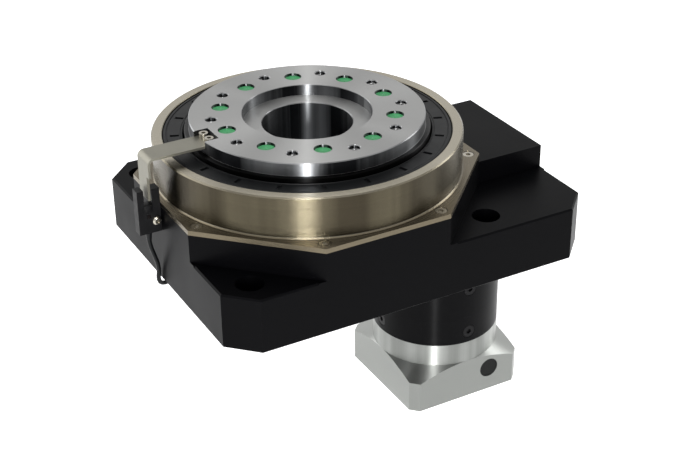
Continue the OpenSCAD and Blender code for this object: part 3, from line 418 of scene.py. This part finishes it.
class Finishes:
    """Every finish of the part, by what it is and how it was made."""

    # hard anodised and dyed black over a bead-blasted face: dark, with a broad grey sheen
    anodised = Blasted("anodised_aluminium_blasted_black", "030304", 0.38, specular=0.04)
    # the same dye on a turned tube: closer and glossier, so its highlights are narrow
    anodised_tube = Turned("anodised_aluminium_turned_black", "050506", 0.3, specular=0.06,
                           centre=(AXLE_X, 0.0), anisotropy=0.95)
    # electroless nickel over a fine-turned steel face: warm and satin, with a soft sparkle on
    # the ring's wall, painted shade in bands of painted reflection on that wall, and a darker
    # painted shade on the flat plate beyond it
    nickel = Turned("nickel_plate_satin", "a09a8b", 0.25, metallic=1.0, pitch=0.6 * MM,
                    strength=0.6, anisotropy=1.0, painted_wall_shade_bands=("3a352b", "66604f"), bands=1.6,
                    grain=0.7 * MM, grain_strength=5.0, depth=0.03 * MM, mottle=0.02,
                    painted_shade_beyond=95.9 * MM, dark="6a6252")
    # nickel on the bent sheet of the dog: smoother, because the sheet was rolled
    nickel_sheet = Blasted("nickel_plate_rolled_sheet", "7c7a70", 0.45, metallic=1.0,
                           grain=1.2 * MM, patch=9 * MM, strength=0.25, mottle=0.04)
    # alloy steel, face-ground on a spindle: fine rings that smear its reflections, a rim and
    # bore darkened by painted shade in bands of painted reflection, and a shoulder outside
    # the disc painted black as shade
    ground = Turned("alloy_steel_ground", "979796", 0.31, metallic=1.0, anisotropy=0.96,
                    mottle=0.02, rough_spread=0.02, painted_wall_shade_bands=("1c1d1f", "8a8c8e"), bands=1.4,
                    painted_shade_beyond=72.6 * MM)
    # bearing steel, hardened and lapped: near a mirror
    bearing = Turned("bearing_steel_lapped", "d2d4d6", 0.14, metallic=1.0, strength=0.2,
                     anisotropy=0.3)
    # the same steel on the gearbox's axis, where its rings centre
    gearbox_bearing = replace(bearing, name="bearing_steel_lapped_gearbox",
                              centre=(AXLE_X, 0.0))
    # alloy steel, hobbed and turned: a darker grey with plain tool marks
    gear = Turned("alloy_steel_hobbed", "a2a5a8", 0.34, metallic=1.0, pitch=0.8 * MM,
                  anisotropy=0.3)
    # the same steel on the gearbox's axis, where its rings centre
    gearbox_gear = replace(gear, name="alloy_steel_hobbed_gearbox", centre=(AXLE_X, 0.0))
    # the tapped holes' cut ridges, bright where the tap has burnished them
    thread = Blasted("alloy_steel_tapped", "6e6e6e", 0.3, metallic=1.0, grain=0.4 * MM,
                     patch=2 * MM)
    # nickel-plated screws: bright, cold-headed
    screw = Blasted("nickel_plate_screw", "a8a398", 0.26, metallic=1.0, grain=0.8 * MM,
                    patch=4 * MM)
    # black oxide on alloy steel: an oily black with a little of a metal's sheen
    oxide = Blasted("black_oxide_screw", "0e0e0f", 0.4, metallic=0.3, specular=0.15,
                    grain=0.4 * MM, patch=4 * MM)
    # nitrile rubber, compression-moulded: dull black with a slight bloom
    rubber = Moulded("nitrile_rubber_moulded", "0c0d0e", 0.38, specular=0.13)
    # dyed polyethylene, injection-moulded: a waxy green
    green = Moulded("polyethylene_moulded_green", "429a61", 0.42, specular=0.45,
                    grain=0.4 * MM)
    # glass-filled nylon, injection-moulded: an even black
    housing_plastic = Moulded("nylon_glass_filled_moulded", "0b0b0c", 0.46, specular=0.12,
                              grain=0.3 * MM)
    # tinted acrylic: a small smooth window, with no grain that shows
    window = Moulded("acrylic_tinted_dark", "0d0a0a", 0.25, ior=1.49, specular=0.2,
                     strength=0.05)
    # plasticised vinyl, extruded: a smooth black jacket
    vinyl = Moulded("vinyl_extruded_black", "08090a", 0.42, ior=1.53, specular=0.12,
                    grain=0.5 * MM)
    # nylon, moulded: the strap's dull black
    strap = Moulded("nylon_moulded_black", "0f1011", 0.45, ior=1.53, specular=0.4)
    # aluminium, turned and left bare: pale, with streaks of light on its round parts, and
    # painted shade in bands of painted reflection on its upright walls
    bare = Turned("aluminium_turned_bare", "a3a5a2", 0.34, metallic=1.0,
                  centre=(AXLE_X, 0.0), pitch=0.7 * MM, anisotropy=0.93,
                  painted_wall_shade_bands=("80827f", "9a9c99"), bands=3.0, mottle=0.03, rough_spread=0.02)
    # rubber plug, moulded: dark grey
    plug = Moulded("rubber_moulded_grey", "121312", 0.5, specular=0.12)
    # tinned copper, stranded: the stripped ends of the lead
    copper = Blasted("copper_tinned", "c9b9a2", 0.28, metallic=1.0, grain=0.3 * MM,
                     patch=2 * MM)
    # vinyl insulation, extruded: the three cores' smooth brown, blue and black
    brown_core = Moulded("vinyl_extruded_brown", "5a3420", 0.4, ior=1.53, grain=0.4 * MM)
    blue_core = replace(brown_core, name="vinyl_extruded_blue", colour="1f4d8a")
    black_core = replace(brown_core, name="vinyl_extruded_dark", colour="161616")


@dataclass
class Paint:
    """Gives finishes to meshes, making each material once."""

    made: dict[str, bpy.types.Material] = field(default_factory=dict)

    def material(self, finish: Finish) -> bpy.types.Material:
        """Finds or makes a finish's material.

        Args:
            finish: the finish.

        Returns:
            Its material.
        """
        if finish.name not in self.made:
            self.made[finish.name] = finish.build()
        return self.made[finish.name]

    def dress(self, piece: bpy.types.Object, finish: Finish) -> None:
        """Puts one finish on every slot of a piece.

        Args:
            piece: the piece.
            finish: its finish.
        """
        if not piece.data.materials:
            piece.data.materials.append(self.material(finish))
        for i in range(len(piece.data.materials)):
            piece.data.materials[i] = self.material(finish)

    def dress_nodes(self, finish: Finish, *names: str) -> None:
        """Puts a finish on CAD nodes.

        Args:
            finish: the finish.
            names: the nodes' names.
        """
        for name in names:
            self.dress(frame["nodes"][name], finish)
            LOG.info("node %s: %s", name, finish.name)


def shown(name: str, shape: bmesh.types.BMesh) -> bpy.types.Object:
    """Makes an object of a bmesh and puts it in the scene.

    Args:
        name: the object's name.
        shape: its mesh, which is freed.

    Returns:
        The new object.
    """
    mesh = bpy.data.meshes.new(name)
    shape.to_mesh(mesh)
    shape.free()
    made = bpy.data.objects.new(name, mesh)
    bpy.context.scene.collection.objects.link(made)
    return made


def new_piece(name: str, shape: bmesh.types.BMesh, finish: Finish, paint: Paint,
              body: Body, smooth: bool = True) -> bpy.types.Object:
    """Makes an object of a bmesh, dresses it and puts it on a body.

    Args:
        name: the piece's name.
        shape: its mesh, which is freed.
        finish: its finish.
        paint: what makes materials.
        body: the body that carries it.
        smooth: whether its faces are shaded smooth, apart from sharp edges.

    Returns:
        The new object.
    """
    bmesh.ops.recalc_face_normals(shape, faces=shape.faces)
    piece = shown(name, shape)
    for face in piece.data.polygons:
        face.use_smooth = smooth
    if smooth:
        piece.data.set_sharp_from_angle(angle=math.radians(SHARP))
    paint.dress(piece, finish)
    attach(piece, body.value)
    LOG.info("piece %s: %d faces on %s", name, len(piece.data.polygons), body.value)
    return piece


@dataclass
class Stage:
    """Floor, world and lamps.

    The world and the floor are white to the camera, in mirrors and through glass, and dimmer
    to all other rays, so that they don't flood the part with light.
    """

    floor_gap: float = 0.5 * MM
    floor_size: float = 6.0
    floor_paint: str = "f4f4f4"
    floor_glow: float = 0.75
    white: str = "ffffff"
    sky: str = "dfe2e6"
    sky_strength: float = 0.2

    def camera_white(self, tree: bpy.types.NodeTree) -> bpy.types.NodeSocket:
        """Tells the camera's, a mirror's and a glass's rays from the others.

        Args:
            tree: the node tree.

        Returns:
            1 for those rays and 0 for others.
        """
        path = add_node(tree, "LightPath")
        seen = add_node(tree, "Math", {"operation": "MAXIMUM"},
                        in0=path.outputs["Is Camera Ray"], in1=path.outputs["Is Glossy Ray"])
        both = add_node(tree, "Math", {"operation": "MAXIMUM"}, in0=seen.outputs[0],
                        in1=path.outputs["Is Transmission Ray"])
        return both.outputs[0]

    def build_world(self) -> None:
        """Makes a world that is white to the camera and a soft grey light to the rest."""
        world = bpy.data.worlds.new("studio")
        tree = cleared(world)
        light = add_node(tree, "Background", None, Color=linear(self.sky),
                         Strength=self.sky_strength)
        look = add_node(tree, "Background", None, Color=linear(self.white), Strength=1.0)
        mix = add_node(tree, "MixShader", None, Fac=self.camera_white(tree),
                       in1=light.outputs[0], in2=look.outputs[0])
        add_node(tree, "OutputWorld", None, Surface=mix.outputs[0])
        bpy.context.scene.world = world

    def build_floor(self) -> None:
        """Makes the plain pale floor under the part, which keeps its shadow."""
        shape = bmesh.new()
        bmesh.ops.create_grid(shape, x_segments=1, y_segments=1, size=self.floor_size)
        bmesh.ops.translate(shape, verts=shape.verts, vec=(0, 0, CAD_BOX[0][2] - self.floor_gap))
        floor = shown("floor", shape)
        made = bpy.data.materials.new("paper_white")
        tree = cleared(made)
        diffuse = add_node(tree, "BsdfDiffuse", None, Color=linear(self.floor_paint))
        glow = add_node(tree, "Emission", None, Color=linear(self.white),
                        Strength=self.floor_glow)
        plain = add_node(tree, "AddShader", None, in0=diffuse.outputs[0], in1=glow.outputs[0])
        mix = add_node(tree, "MixShader", None, Fac=self.camera_white(tree),
                       in1=diffuse.outputs[0], in2=plain.outputs[0])
        add_node(tree, "OutputMaterial", None, Surface=mix.outputs[0])
        floor.data.materials.append(made)

    def lamp(self, name: str, place: tuple, target: tuple, size: tuple[float, float],
             watts: float) -> None:
        """Makes one soft rectangular lamp that points at a target.

        Args:
            name: the lamp's name.
            place: where it stands.
            target: what it points at.
            size: its width and height.
            watts: its power.
        """
        data = bpy.data.lights.new(name, "AREA")
        data.shape = "RECTANGLE"
        data.size, data.size_y = size
        data.energy = watts
        lamp = bpy.data.objects.new(name, data)
        lamp.location = place
        aim = Vector(target) - Vector(place)
        lamp.rotation_euler = aim.to_track_quat("-Z", "Y").to_euler()
        bpy.context.scene.collection.objects.link(lamp)

    def build(self) -> None:
        """Makes the floor, the world and the lamps."""
        self.build_world()
        self.build_floor()
        self.lamp("key_rear_left", (-1.3, 1.4, 0.8), (0, 0, 0), (2.6, 2.2), 32)
        self.lamp("top", (0.15, 0.1, 1.7), (0, 0, 0), (1.2, 1.2), 8)
        # the two strips draw the narrow bright streaks down the rings, the rim and the bore
        self.lamp("strip_low", (-0.678, -1.225, 0.25), (0, 0, 0.1), (0.013, 0.6), 26)
        self.lamp("strip_high", (-0.46, -0.84, 1.15), (0, 0, 0.08), (0.015, 0.5), 5)
        self.lamp("right", (1.6, -0.1, 0.5), (0.05, 0, 0), (0.5, 1.0), 8)


@dataclass
class ViewPoint:
    """The camera: where it stands in metres, how it is turned in degrees, its lens in mm."""

    azimuth: float = -28.984
    elevation: float = 29.098
    roll: float = -0.523
    place: tuple[float, float, float] = (-0.37374, -0.72746, 0.46398)
    lens: float = 75.33257
    sensor: float = 36.0
    nearest: float = 0.01
    farthest: float = 50.0

    def build(self) -> None:
        """Makes the camera and sets it as the scene's."""
        a, e, r = (math.radians(v) for v in (self.azimuth, self.elevation, self.roll))
        back = Vector((math.sin(a) * math.cos(e), -math.cos(a) * math.cos(e), math.sin(e)))
        level = (-back).cross(Vector((0, 0, 1))).normalized()
        over = level.cross(-back)
        right = math.cos(r) * level + math.sin(r) * over
        up = -math.sin(r) * level + math.cos(r) * over
        data = bpy.data.cameras.new("camera")
        data.sensor_width = self.sensor
        data.lens = self.lens
        data.clip_start, data.clip_end = self.nearest, self.farthest
        camera = bpy.data.objects.new("camera", data)
        turn = Matrix((right, up, back)).transposed().to_4x4()
        camera.matrix_world = Matrix.Translation(self.place) @ turn
        bpy.context.scene.collection.objects.link(camera)
        bpy.context.scene.camera = camera


def tube(name: str, points: list[Vector], radius: float, material: bpy.types.Material) -> bpy.types.Object:
    """Makes a round cord or core as one curve along its points, on the fixed body.

    Args:
        name: the piece's name.
        points: its centre line, in metres.
        radius: its radius, in metres.
        material: its material.

    Returns:
        The new object.
    """
    data = bpy.data.curves.new(name, "CURVE")
    data.dimensions = "3D"
    data.bevel_depth = radius
    data.bevel_resolution = CORD_ROUNDING
    data.use_fill_caps = True
    line = data.splines.new("POLY")
    line.points.add(len(points) - 1)
    for spot, p in zip(line.points, points):
        spot.co = (*p, 1)
    line.use_smooth = True
    piece = bpy.data.objects.new(name, data)
    bpy.context.scene.collection.objects.link(piece)
    data.materials.append(material)
    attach(piece, Body.ROOT.value)
    LOG.info("piece %s: %d points", name, len(points))
    return piece


@dataclass
class Lead:
    """The sensor's lead: out of the sensor, under the body, and a coil behind the gearbox.

    The route, the coil's centre and radius and the spacing of its turns are in millimetres.
    """

    paint: Paint
    diameter: float = 2.8 * MM
    length: float = 1.0
    route: tuple = ((-107.8, 1.9, 37), (-107.8, 1.9, 31), (-106.8, 2.1, 25), (-104.8, 2.8, 18.5),
                    (-102.9, 4, 12), (-102, 5.4, 6), (-102, 6.6, 0.4), (-100.6, 7.7, -3.8),
                    (-96.6, 9.4, -6.1), (-90, 12.6, -7), (-80, 19, -8.6), (-67, 29, -11),
                    (-52, 40, -13.4), (-35, 50.5, -15.4), (-16, 58, -16.6), (4, 61.6, -16.8),
                    (25, 61.4, -15.9), (45, 58.4, -14.1), (64, 54.4, -11.4), (80, 51, -9),
                    (90, 50.3, -7.9))
    # the smooth curve's steps from one point to the next
    fill: int = 3
    coil_centre: tuple[float, float, float] = (96.0, 47.6, -24.0)
    coil_radius: float = 16.8
    spacing: float = 2.85
    turn_points: int = 48
    # between these angles a turn moves over to the next one's place in the bundle
    first_shift: tuple[int, int] = (240, 320)
    second_shift: tuple[int, int] = (140, 220)
    later_shift: tuple[int, int] = (40, 120)
    # the last turn stops here, a little short of the lead's length
    last_angle: float = 36
    core_step: float = 1.2 * MM
    core_points: int = 14
    core_gap: float = 0.62 * MM
    core_r: float = 0.5 * MM
    # shares of the cores' gap: how far apart they start, and how much more they spread
    core_start: float = 0.75
    core_spread: float = 0.5
    spread_points: int = 5
    tip_points: int = 3
    tip_share: float = 0.6
    # the sleeve's outline: how far outside the jacket, and how far down, in millimetres
    relief_outline: tuple = ((-0.1, -0.1), (0.75, -0.1), (0.75, 1), (0.6, 1.2), (0.25, 5.25),
                             (0.1, 5.5), (-0.1, 5.5))
    relief_sides: int = 32

    def build(self) -> None:
        points = [Vector(p) for p in self.route]
        points += self.coil_points(self.slots())
        made = [p * MM for p in self.smooth(points)]
        piece = tube("sensor_lead", made, self.diameter / 2, self.paint.material(Finishes.vinyl))
        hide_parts("sensor_cable", "cable_coil")
        ends = self.cores(made)
        LOG.info("lead: %d points, %.3f m", len(made), self.measure(made))
        self.relief(made[0])

    def cores(self, made: list[Vector]) -> list[bpy.types.Object]:
        """Makes the three insulated cores at the bare end, each with a tinned tip.

        Args:
            made: the jacket's centre line.

        Returns:
            The cores and their tips.
        """
        hub = Vector(self.coil_centre) * MM
        end = made[-1] - hub
        # this turns back along the coil, so the cores lie inside the jacket and don't show
        turn = Matrix.Rotation(-self.core_step / end.length, 3, "Y")
        ends = []
        finishes = (Finishes.brown_core, Finishes.blue_core, Finishes.black_core)
        for i, finish in enumerate(finishes):
            side = math.radians(90 + 120 * i)
            arm, line = end.copy(), []
            for k in range(self.core_points):
                opened = self.core_spread * min(k / self.spread_points, 1)
                splay = self.core_gap * (self.core_start + opened)
                out = arm.normalized() * (splay * math.sin(side))
                line.append(hub + arm + out + Vector((0, splay * math.cos(side), 0)))
                arm = turn @ arm
            cut = self.core_points - self.tip_points - i
            ends.append(tube(f"lead_core_{i + 1}", line[:cut + 1], self.core_r,
                             self.paint.material(finish)))
            ends.append(tube(f"lead_tip_{i + 1}", line[cut:], self.tip_share * self.core_r,
                             self.paint.material(Finishes.copper)))
        return ends

    def relief(self, spot: Vector) -> None:
        """Makes the short tapered sleeve where the lead leaves the sensor.

        Args:
            spot: where the lead leaves it.
        """
        r = self.diameter / 2
        sleeve = spun([(r + out * MM, -down * MM) for out, down in self.relief_outline],
                      self.relief_sides)
        bmesh.ops.translate(sleeve, verts=sleeve.verts, vec=spot)
        new_piece("lead_relief", sleeve, Finishes.vinyl, self.paint, Body.ROOT)

    def slots(self) -> list[tuple[float, float]]:
        """Finds where each turn lies in the bundle: six round one, and a last one outside.

        Returns:
            How far outwards and how far along the coil's axis each turn lies.
        """
        around = [math.radians(90 - 60 * i) for i in range(5)] + [math.radians(150)]
        ring = [(self.spacing * math.cos(a), self.spacing * math.sin(a)) for a in around]
        outer = (ring[5][0], 3 * ring[5][1])
        return [ring[0], (0.0, 0.0), *ring[1:], outer]

    def coil_points(self, slots: list[tuple[float, float]]) -> list[Vector]:
        """Winds the turns of the coil.

        Args:
            slots: where each turn lies in the bundle.

        Returns:
            Points of the coil, in millimetres, from its upper side.
        """
        shifts = [self.first_shift, self.second_shift] + [self.later_shift] * (len(slots) - 3)
        spots = []
        for turn in range(len(slots)):
            for k in range(self.turn_points):
                angle = 360 * k / self.turn_points
                out, along = slots[turn]
                if turn < len(shifts):
                    first, last = shifts[turn]
                    t = min(max((angle - first) / (last - first), 0), 1)
                    eased = t * t * (3 - 2 * t)
                    out += (slots[turn + 1][0] - out) * eased
                    along += (slots[turn + 1][1] - along) * eased
                elif angle >= self.last_angle:
                    break
                theta = math.radians(90 - angle)
                r = self.coil_radius + out
                spots.append(Vector((self.coil_centre[0] + r * math.cos(theta),
                                     self.coil_centre[1] + along,
                                     self.coil_centre[2] + r * math.sin(theta))))
        return spots

    def smooth(self, points: list[Vector]) -> list[Vector]:
        """Fills a smooth curve in between the points.

        Args:
            points: points that the curve passes through.

        Returns:
            The same points, with more between them.
        """
        filled = []
        for i in range(len(points) - 1):
            a, b = points[max(i - 1, 0)], points[i]
            c, d = points[i + 1], points[min(i + 2, len(points) - 1)]
            for k in range(self.fill):
                t = k / self.fill
                filled.append(0.5 * (2 * b + (c - a) * t + (2 * a - 5 * b + 4 * c - d) * t * t
                                     + (3 * b - a - 3 * c + d) * t ** 3))
        return filled + [points[-1]]

    def measure(self, points: list[Vector]) -> float:
        """Returns the length of a line of points."""
        return sum((b - a).length for a, b in zip(points, points[1:]))


def ring_copies(count: int, radius: float, first: float = 0.0) -> list[Matrix]:
    """Places for copies in a ring about Z.

    Args:
        count: how many.
        radius: the ring's radius.
        first: the angle of the first, in degrees.

    Returns:
        A matrix for each, with its X axis pointing outwards.
    """
    turns = (math.radians(first + 360 * i / count) for i in range(count))
    return [Matrix.Rotation(a, 4, "Z") @ Matrix.Translation((radius, 0, 0)) for a in turns]


def spun(profile: list[tuple[float, float]], steps: int, start: float = 0.0) -> bmesh.types.BMesh:
    """Spins a closed profile into a full ring about Z.

    Args:
        profile: radius and height of each corner, in metres, in order round the profile.
        steps: how many segments the ring has.
        start: the angle at which the first segment starts, in degrees.

    Returns:
        The ring's mesh.
    """
    shape = bmesh.new()
    turn = Matrix.Rotation(math.radians(start), 3, "Z")
    corners = [shape.verts.new(turn @ Vector((r, 0, z))) for r, z in profile]
    edges = [shape.edges.new((a, b)) for a, b in zip(corners, corners[1:] + corners[:1])]
    bmesh.ops.spin(shape, geom=corners + edges, cent=(0, 0, 0), axis=(0, 0, 1),
                   angle=2 * math.pi, steps=steps, use_merge=True)
    return shape


def placed(shape: bmesh.types.BMesh, places: list[Matrix]) -> bmesh.types.BMesh:
    """Repeats a shape at each place in one mesh.

    Args:
        shape: the shape, which is freed.
        places: a matrix for each copy.

    Returns:
        The mesh of all the copies.
    """
    mesh = bpy.data.meshes.new("copy")
    shape.to_mesh(mesh)
    shape.free()
    whole = bmesh.new()
    for place in places:
        known = len(whole.verts)
        whole.from_mesh(mesh)
        whole.verts.ensure_lookup_table()
        bmesh.ops.transform(whole, matrix=place, verts=whole.verts[known:])
    bpy.data.meshes.remove(mesh)
    return whole


def block(low: tuple, high: tuple, edge: float) -> bmesh.types.BMesh:
    """Makes a box with rounded edges.

    Args:
        low: its lowest corner, in metres.
        high: its highest corner, in metres.
        edge: the size of its rounded edges, in metres.

    Returns:
        The box's mesh.
    """
    shape = bmesh.new()
    bmesh.ops.create_cube(shape, size=1.0)
    low, high = Vector(low), Vector(high)
    bmesh.ops.scale(shape, verts=shape.verts, vec=high - low)
    bmesh.ops.translate(shape, verts=shape.verts, vec=(low + high) / 2)
    bmesh.ops.bevel(shape, geom=shape.edges[:], offset=edge, segments=2, profile=0.5,
                    material=-1, affect="EDGES")
    return shape


@dataclass
class SensorTrim:
    """The web in the sensor's slot, and the buckle and tail of the lead's strap."""

    paint: Paint
    slot_left: float = -110.25 * MM
    slot_right: float = -105.25 * MM
    slot_floor: float = 51 * MM
    web_top: float = 55.5 * MM
    web_inset: float = 0.1 * MM
    web_edge: float = 0.15 * MM
    buckle: tuple[float, float, float] = (9 * MM, 4.2 * MM, 7.5 * MM)
    buckle_sink: float = 0.6 * MM
    buckle_edge: float = 0.6 * MM
    # the tail: past the buckle, inside it, its faces from the buckle's, half its width, its edge
    tail_long: float = 14 * MM
    tail_hidden: float = 1 * MM
    tail_near: float = 1.2 * MM
    tail_far: float = 2.3 * MM
    tail_half: float = 2.3 * MM
    tail_edge: float = 0.3 * MM

    def build(self) -> None:
        """Makes all three."""
        low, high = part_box("sensor")
        web = block((self.slot_left, low[1] + self.web_inset, self.slot_floor - self.web_inset),
                    (self.slot_right, high[1] - self.web_inset, self.web_top), self.web_edge)
        new_piece("sensor_slot_web", web, Finishes.housing_plastic, self.paint, Body.ROOT)
        strap_low, strap_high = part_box("cable_strap")
        long, deep, tall = self.buckle
        right = AXLE_X + long / 2
        y = strap_high[1] - self.buckle_sink
        z = (strap_low[2] + strap_high[2]) / 2
        head = block((AXLE_X - long / 2, y, z - tall / 2), (right, y + deep, z + tall / 2),
                     self.buckle_edge)
        new_piece("strap_buckle", head, Finishes.strap, self.paint, Body.ROOT)
        tail = block((right - self.tail_hidden, y + self.tail_near, z - self.tail_half),
                     (right + self.tail_long, y + self.tail_far, z + self.tail_half),
                     self.tail_edge)
        new_piece("strap_tail", tail, Finishes.strap, self.paint, Body.ROOT)


@dataclass
class TableTrim:
    """Plugs in the counterbores and the threads of the load holes."""

    paint: Paint
    count: int = 10
    plug_ring: float = 54 * MM
    plug_r: float = 5.44 * MM
    plug_down: float = 1.6 * MM
    plug_t: float = 1.6 * MM
    plug_rim: float = 0.7 * MM
    plug_dish: float = 0.35 * MM
    plug_shoulder: float = 0.3 * MM
    plug_crown: float = 0.02 * MM
    plug_sides: int = 32
    # the gate mark: a low stub in the middle, and the hole that it fills
    gate_hole: float = 0.5 * MM
    gate_foot: float = 0.55 * MM
    gate_top: float = 0.4 * MM
    gate_down: float = 0.22 * MM
    gate_sides: int = 12
    load_ring: float = 59 * MM
    tap_r: float = 3.4 * MM
    thread_pitch: float = 1.25 * MM
    thread_depth: float = 0.45 * MM
    thread_root: float = 0.01 * MM
    # how much of the pitch the ridge fills at its root
    thread_fill: float = 0.98
    thread_turns: int = 7
    thread_down: float = 1.9 * MM
    thread_steps: int = 20

    def build(self) -> None:
        """Makes both."""
        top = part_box("rotary_table")[1][2]
        self.plugs(top)
        self.threads(top)

    def plugs(self, top: float) -> None:
        """Makes the pressed plugs: shallow cups with a rounded rim and a gate mark.

        Args:
            top: the height of the table's top.
        """
        r, z, t, rim = self.plug_r, top - self.plug_down, self.plug_t, self.plug_rim
        shoulder = z - self.plug_shoulder
        cup = spun([(self.gate_hole, z - self.plug_dish), (r - 2 * rim, shoulder), (r - rim, z),
                    (r - 0.3 * rim, z - self.plug_crown), (r, shoulder), (r, z - t),
                    (self.gate_hole, z - t)], self.plug_sides)
        stub = bmesh.ops.create_cone(cup, cap_ends=True, segments=self.gate_sides,
                                     radius1=self.gate_foot, radius2=self.gate_top, depth=t)
        bmesh.ops.translate(cup, verts=stub["verts"], vec=(0, 0, z - self.gate_down - t / 2))
        places = ring_copies(self.count, self.plug_ring)
        piece = new_piece("counterbore_plugs", placed(cup, places), Finishes.green, self.paint,
                          Body.TABLE)
        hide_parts("table_plugs")

    def threads(self, top: float) -> None:
        """Makes the coiled ridge of each tapped hole.

        Args:
            top: the height of the table's top.
        """
        root, crest = self.tap_r + self.thread_root, self.tap_r - self.thread_depth
        pitch = self.thread_pitch
        z = top - self.thread_down
        ridge = bmesh.new()
        corners = [ridge.verts.new(c) for c in ((root, 0, z), (crest, 0, z - pitch / 2),
                                                (root, 0, z - self.thread_fill * pitch))]
        ridge.faces.new(corners)
        geom = ridge.verts[:] + ridge.edges[:] + ridge.faces[:]
        bmesh.ops.spin(ridge, geom=geom, cent=(0, 0, 0), axis=(0, 0, 1),
                       dvec=(0, 0, -pitch / self.thread_steps),
                       angle=2 * math.pi * self.thread_turns,
                       steps=self.thread_steps * self.thread_turns)
        places = ring_copies(self.count, self.load_ring, 180 / self.count)
        new_piece("load_hole_threads", placed(ridge, places), Finishes.thread, self.paint,
                  Body.TABLE)


@dataclass
class LipSeal:
    """The moulded seal between the ring cover and the table."""

    paint: Paint
    outer: float = 89 * MM
    inner: float = 75.5 * MM
    # the outer and inner lips' outlines, from the outside inwards: how far in from the outer
    # edge or out from the inner one, and how far down from the top, in millimetres
    outer_lip: tuple = ((0, 1), (0.7, 0.15), (1.5, 0), (2.2, 0), (2.4, 0.45), (2.9, 0.45),
                        (3.1, 0.2))
    inner_lip: tuple = ((2.6, 0.2), (2.4, 0.45), (1.9, 0.45), (1.7, 0), (1.2, 0.1), (0.3, 2.2),
                        (0.3, 3), (3, 5))
    land: float = 0.2 * MM
    foot: float = 3 * MM
    slots: int = 20
    first_slot: float = 15.0
    slot_steps: int = 10
    slot_in: float = 78.7 * MM
    slot_out: float = 84.3 * MM
    slot_depth: float = 1.1 * MM
    slot_draft: float = 0.12 * MM
    # a face whose middle is within this angle of a slot's middle, in degrees, is pressed in
    slot_near: float = 0.3
    looks_up: float = 0.9

    def build(self) -> None:
        """Makes the ring with its lips and grooves, and presses the slots in."""
        (_, _, low), (_, _, high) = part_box("table_seal")
        land = high - self.land
        profile = [(self.inner + self.foot, low), (self.outer, low)]
        profile += [(self.outer - x * MM, high - down * MM) for x, down in self.outer_lip]
        profile += [(self.slot_out, land), (self.slot_in, land)]
        profile += [(self.inner + x * MM, high - down * MM) for x, down in self.inner_lip]
        steps = self.slots * self.slot_steps
        ring = spun(profile, steps, self.first_slot - 180 / steps)
        bmesh.ops.recalc_face_normals(ring, faces=ring.faces)
        pressed = [face for face in ring.faces if self.in_slot(face)]
        bmesh.ops.inset_individual(ring, faces=pressed, thickness=self.slot_draft,
                                   depth=-self.slot_depth)
        piece = new_piece("lip_seal", ring, Finishes.rubber, self.paint, Body.ROOT,
                          smooth=False)
        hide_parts("table_seal")

    def in_slot(self, face: bmesh.types.BMFace) -> bool:
        """Tells whether a face is a slot's.

        Args:
            face: a face of the ring.

        Returns:
            True where the face looks up, lies between the lips and is in the middle of a slot.
        """
        spot = face.calc_center_median()
        if face.normal.z <= self.looks_up or not self.slot_in < spot.xy.length < self.slot_out:
            return False
        turn = math.degrees(math.atan2(spot.y, spot.x)) - self.first_slot
        half = 180 / self.slots
        return abs((turn + half) % (2 * half) - half) < self.slot_near


@dataclass
class Platform:
    """The carried-over CAD nodes and their finishes."""

    paint: Paint

    def build(self) -> None:
        """Dresses every CAD node."""
        put = self.paint.dress_nodes
        put(Finishes.anodised, "housing", "base_cover", "sensor_bracket")
        put(Finishes.nickel, "ring_cover")
        put(Finishes.nickel_sheet, "home_dog")
        put(Finishes.screw, "cover_screws", "base_cover_screws", "dog_screws", "sensor_screw",
            "bracket_screw")
        put(Finishes.rubber, "table_seal", "lower_seal")
        put(Finishes.ground, "rotary_table")
        put(Finishes.green, "table_plugs")
        put(Finishes.bearing, "outer_race_upper", "outer_race_lower", "inner_race",
            "cross_rollers", "lower_bearing_outer", "lower_bearing_inner", "lower_balls")
        put(Finishes.gear, "main_gear")
        put(Finishes.gearbox_gear, "pinion", "pinion_key", "output_shaft", "bearing_retainer",
            "ring_gear", "planet_gear_1", "planet_gear_2", "planet_gear_3", "carrier_plate",
            "input_shaft", "clamp_collar")
        put(Finishes.gearbox_bearing, "output_bearing_outer", "output_bearing_inner",
            "output_balls", "planet_pins", "input_bearing_outer", "input_bearing_inner",
            "input_balls")
        put(Finishes.oxide, "gear_screws", "gearbox_screws", "ring_gear_screws",
            "adapter_screws", "clamp_screw", "pinion_circlip")
        put(Finishes.anodised_tube, "gearbox_body")
        put(Finishes.bare, "motor_adapter")
        put(Finishes.plug, "access_plug")
        put(Finishes.housing_plastic, "sensor")
        put(Finishes.window, "sensor_lens")
        put(Finishes.vinyl, "sensor_cable", "cable_coil")
        put(Finishes.strap, "cable_strap")


def main() -> None:
    """Builds the camera, the lead, the finishes, the trim and the stage, in order."""
    logging.basicConfig(level=logging.INFO, format="%(name)s: %(message)s")
    bpy.context.scene.view_settings.view_transform = "Standard"
    ViewPoint().build()
    paint = Paint()
    Lead(paint).build()
    Platform(paint).build()
    TableTrim(paint).build()
    SensorTrim(paint).build()
    LipSeal(paint).build()
    Stage().build()


if __name__ == "__main__":
    main()
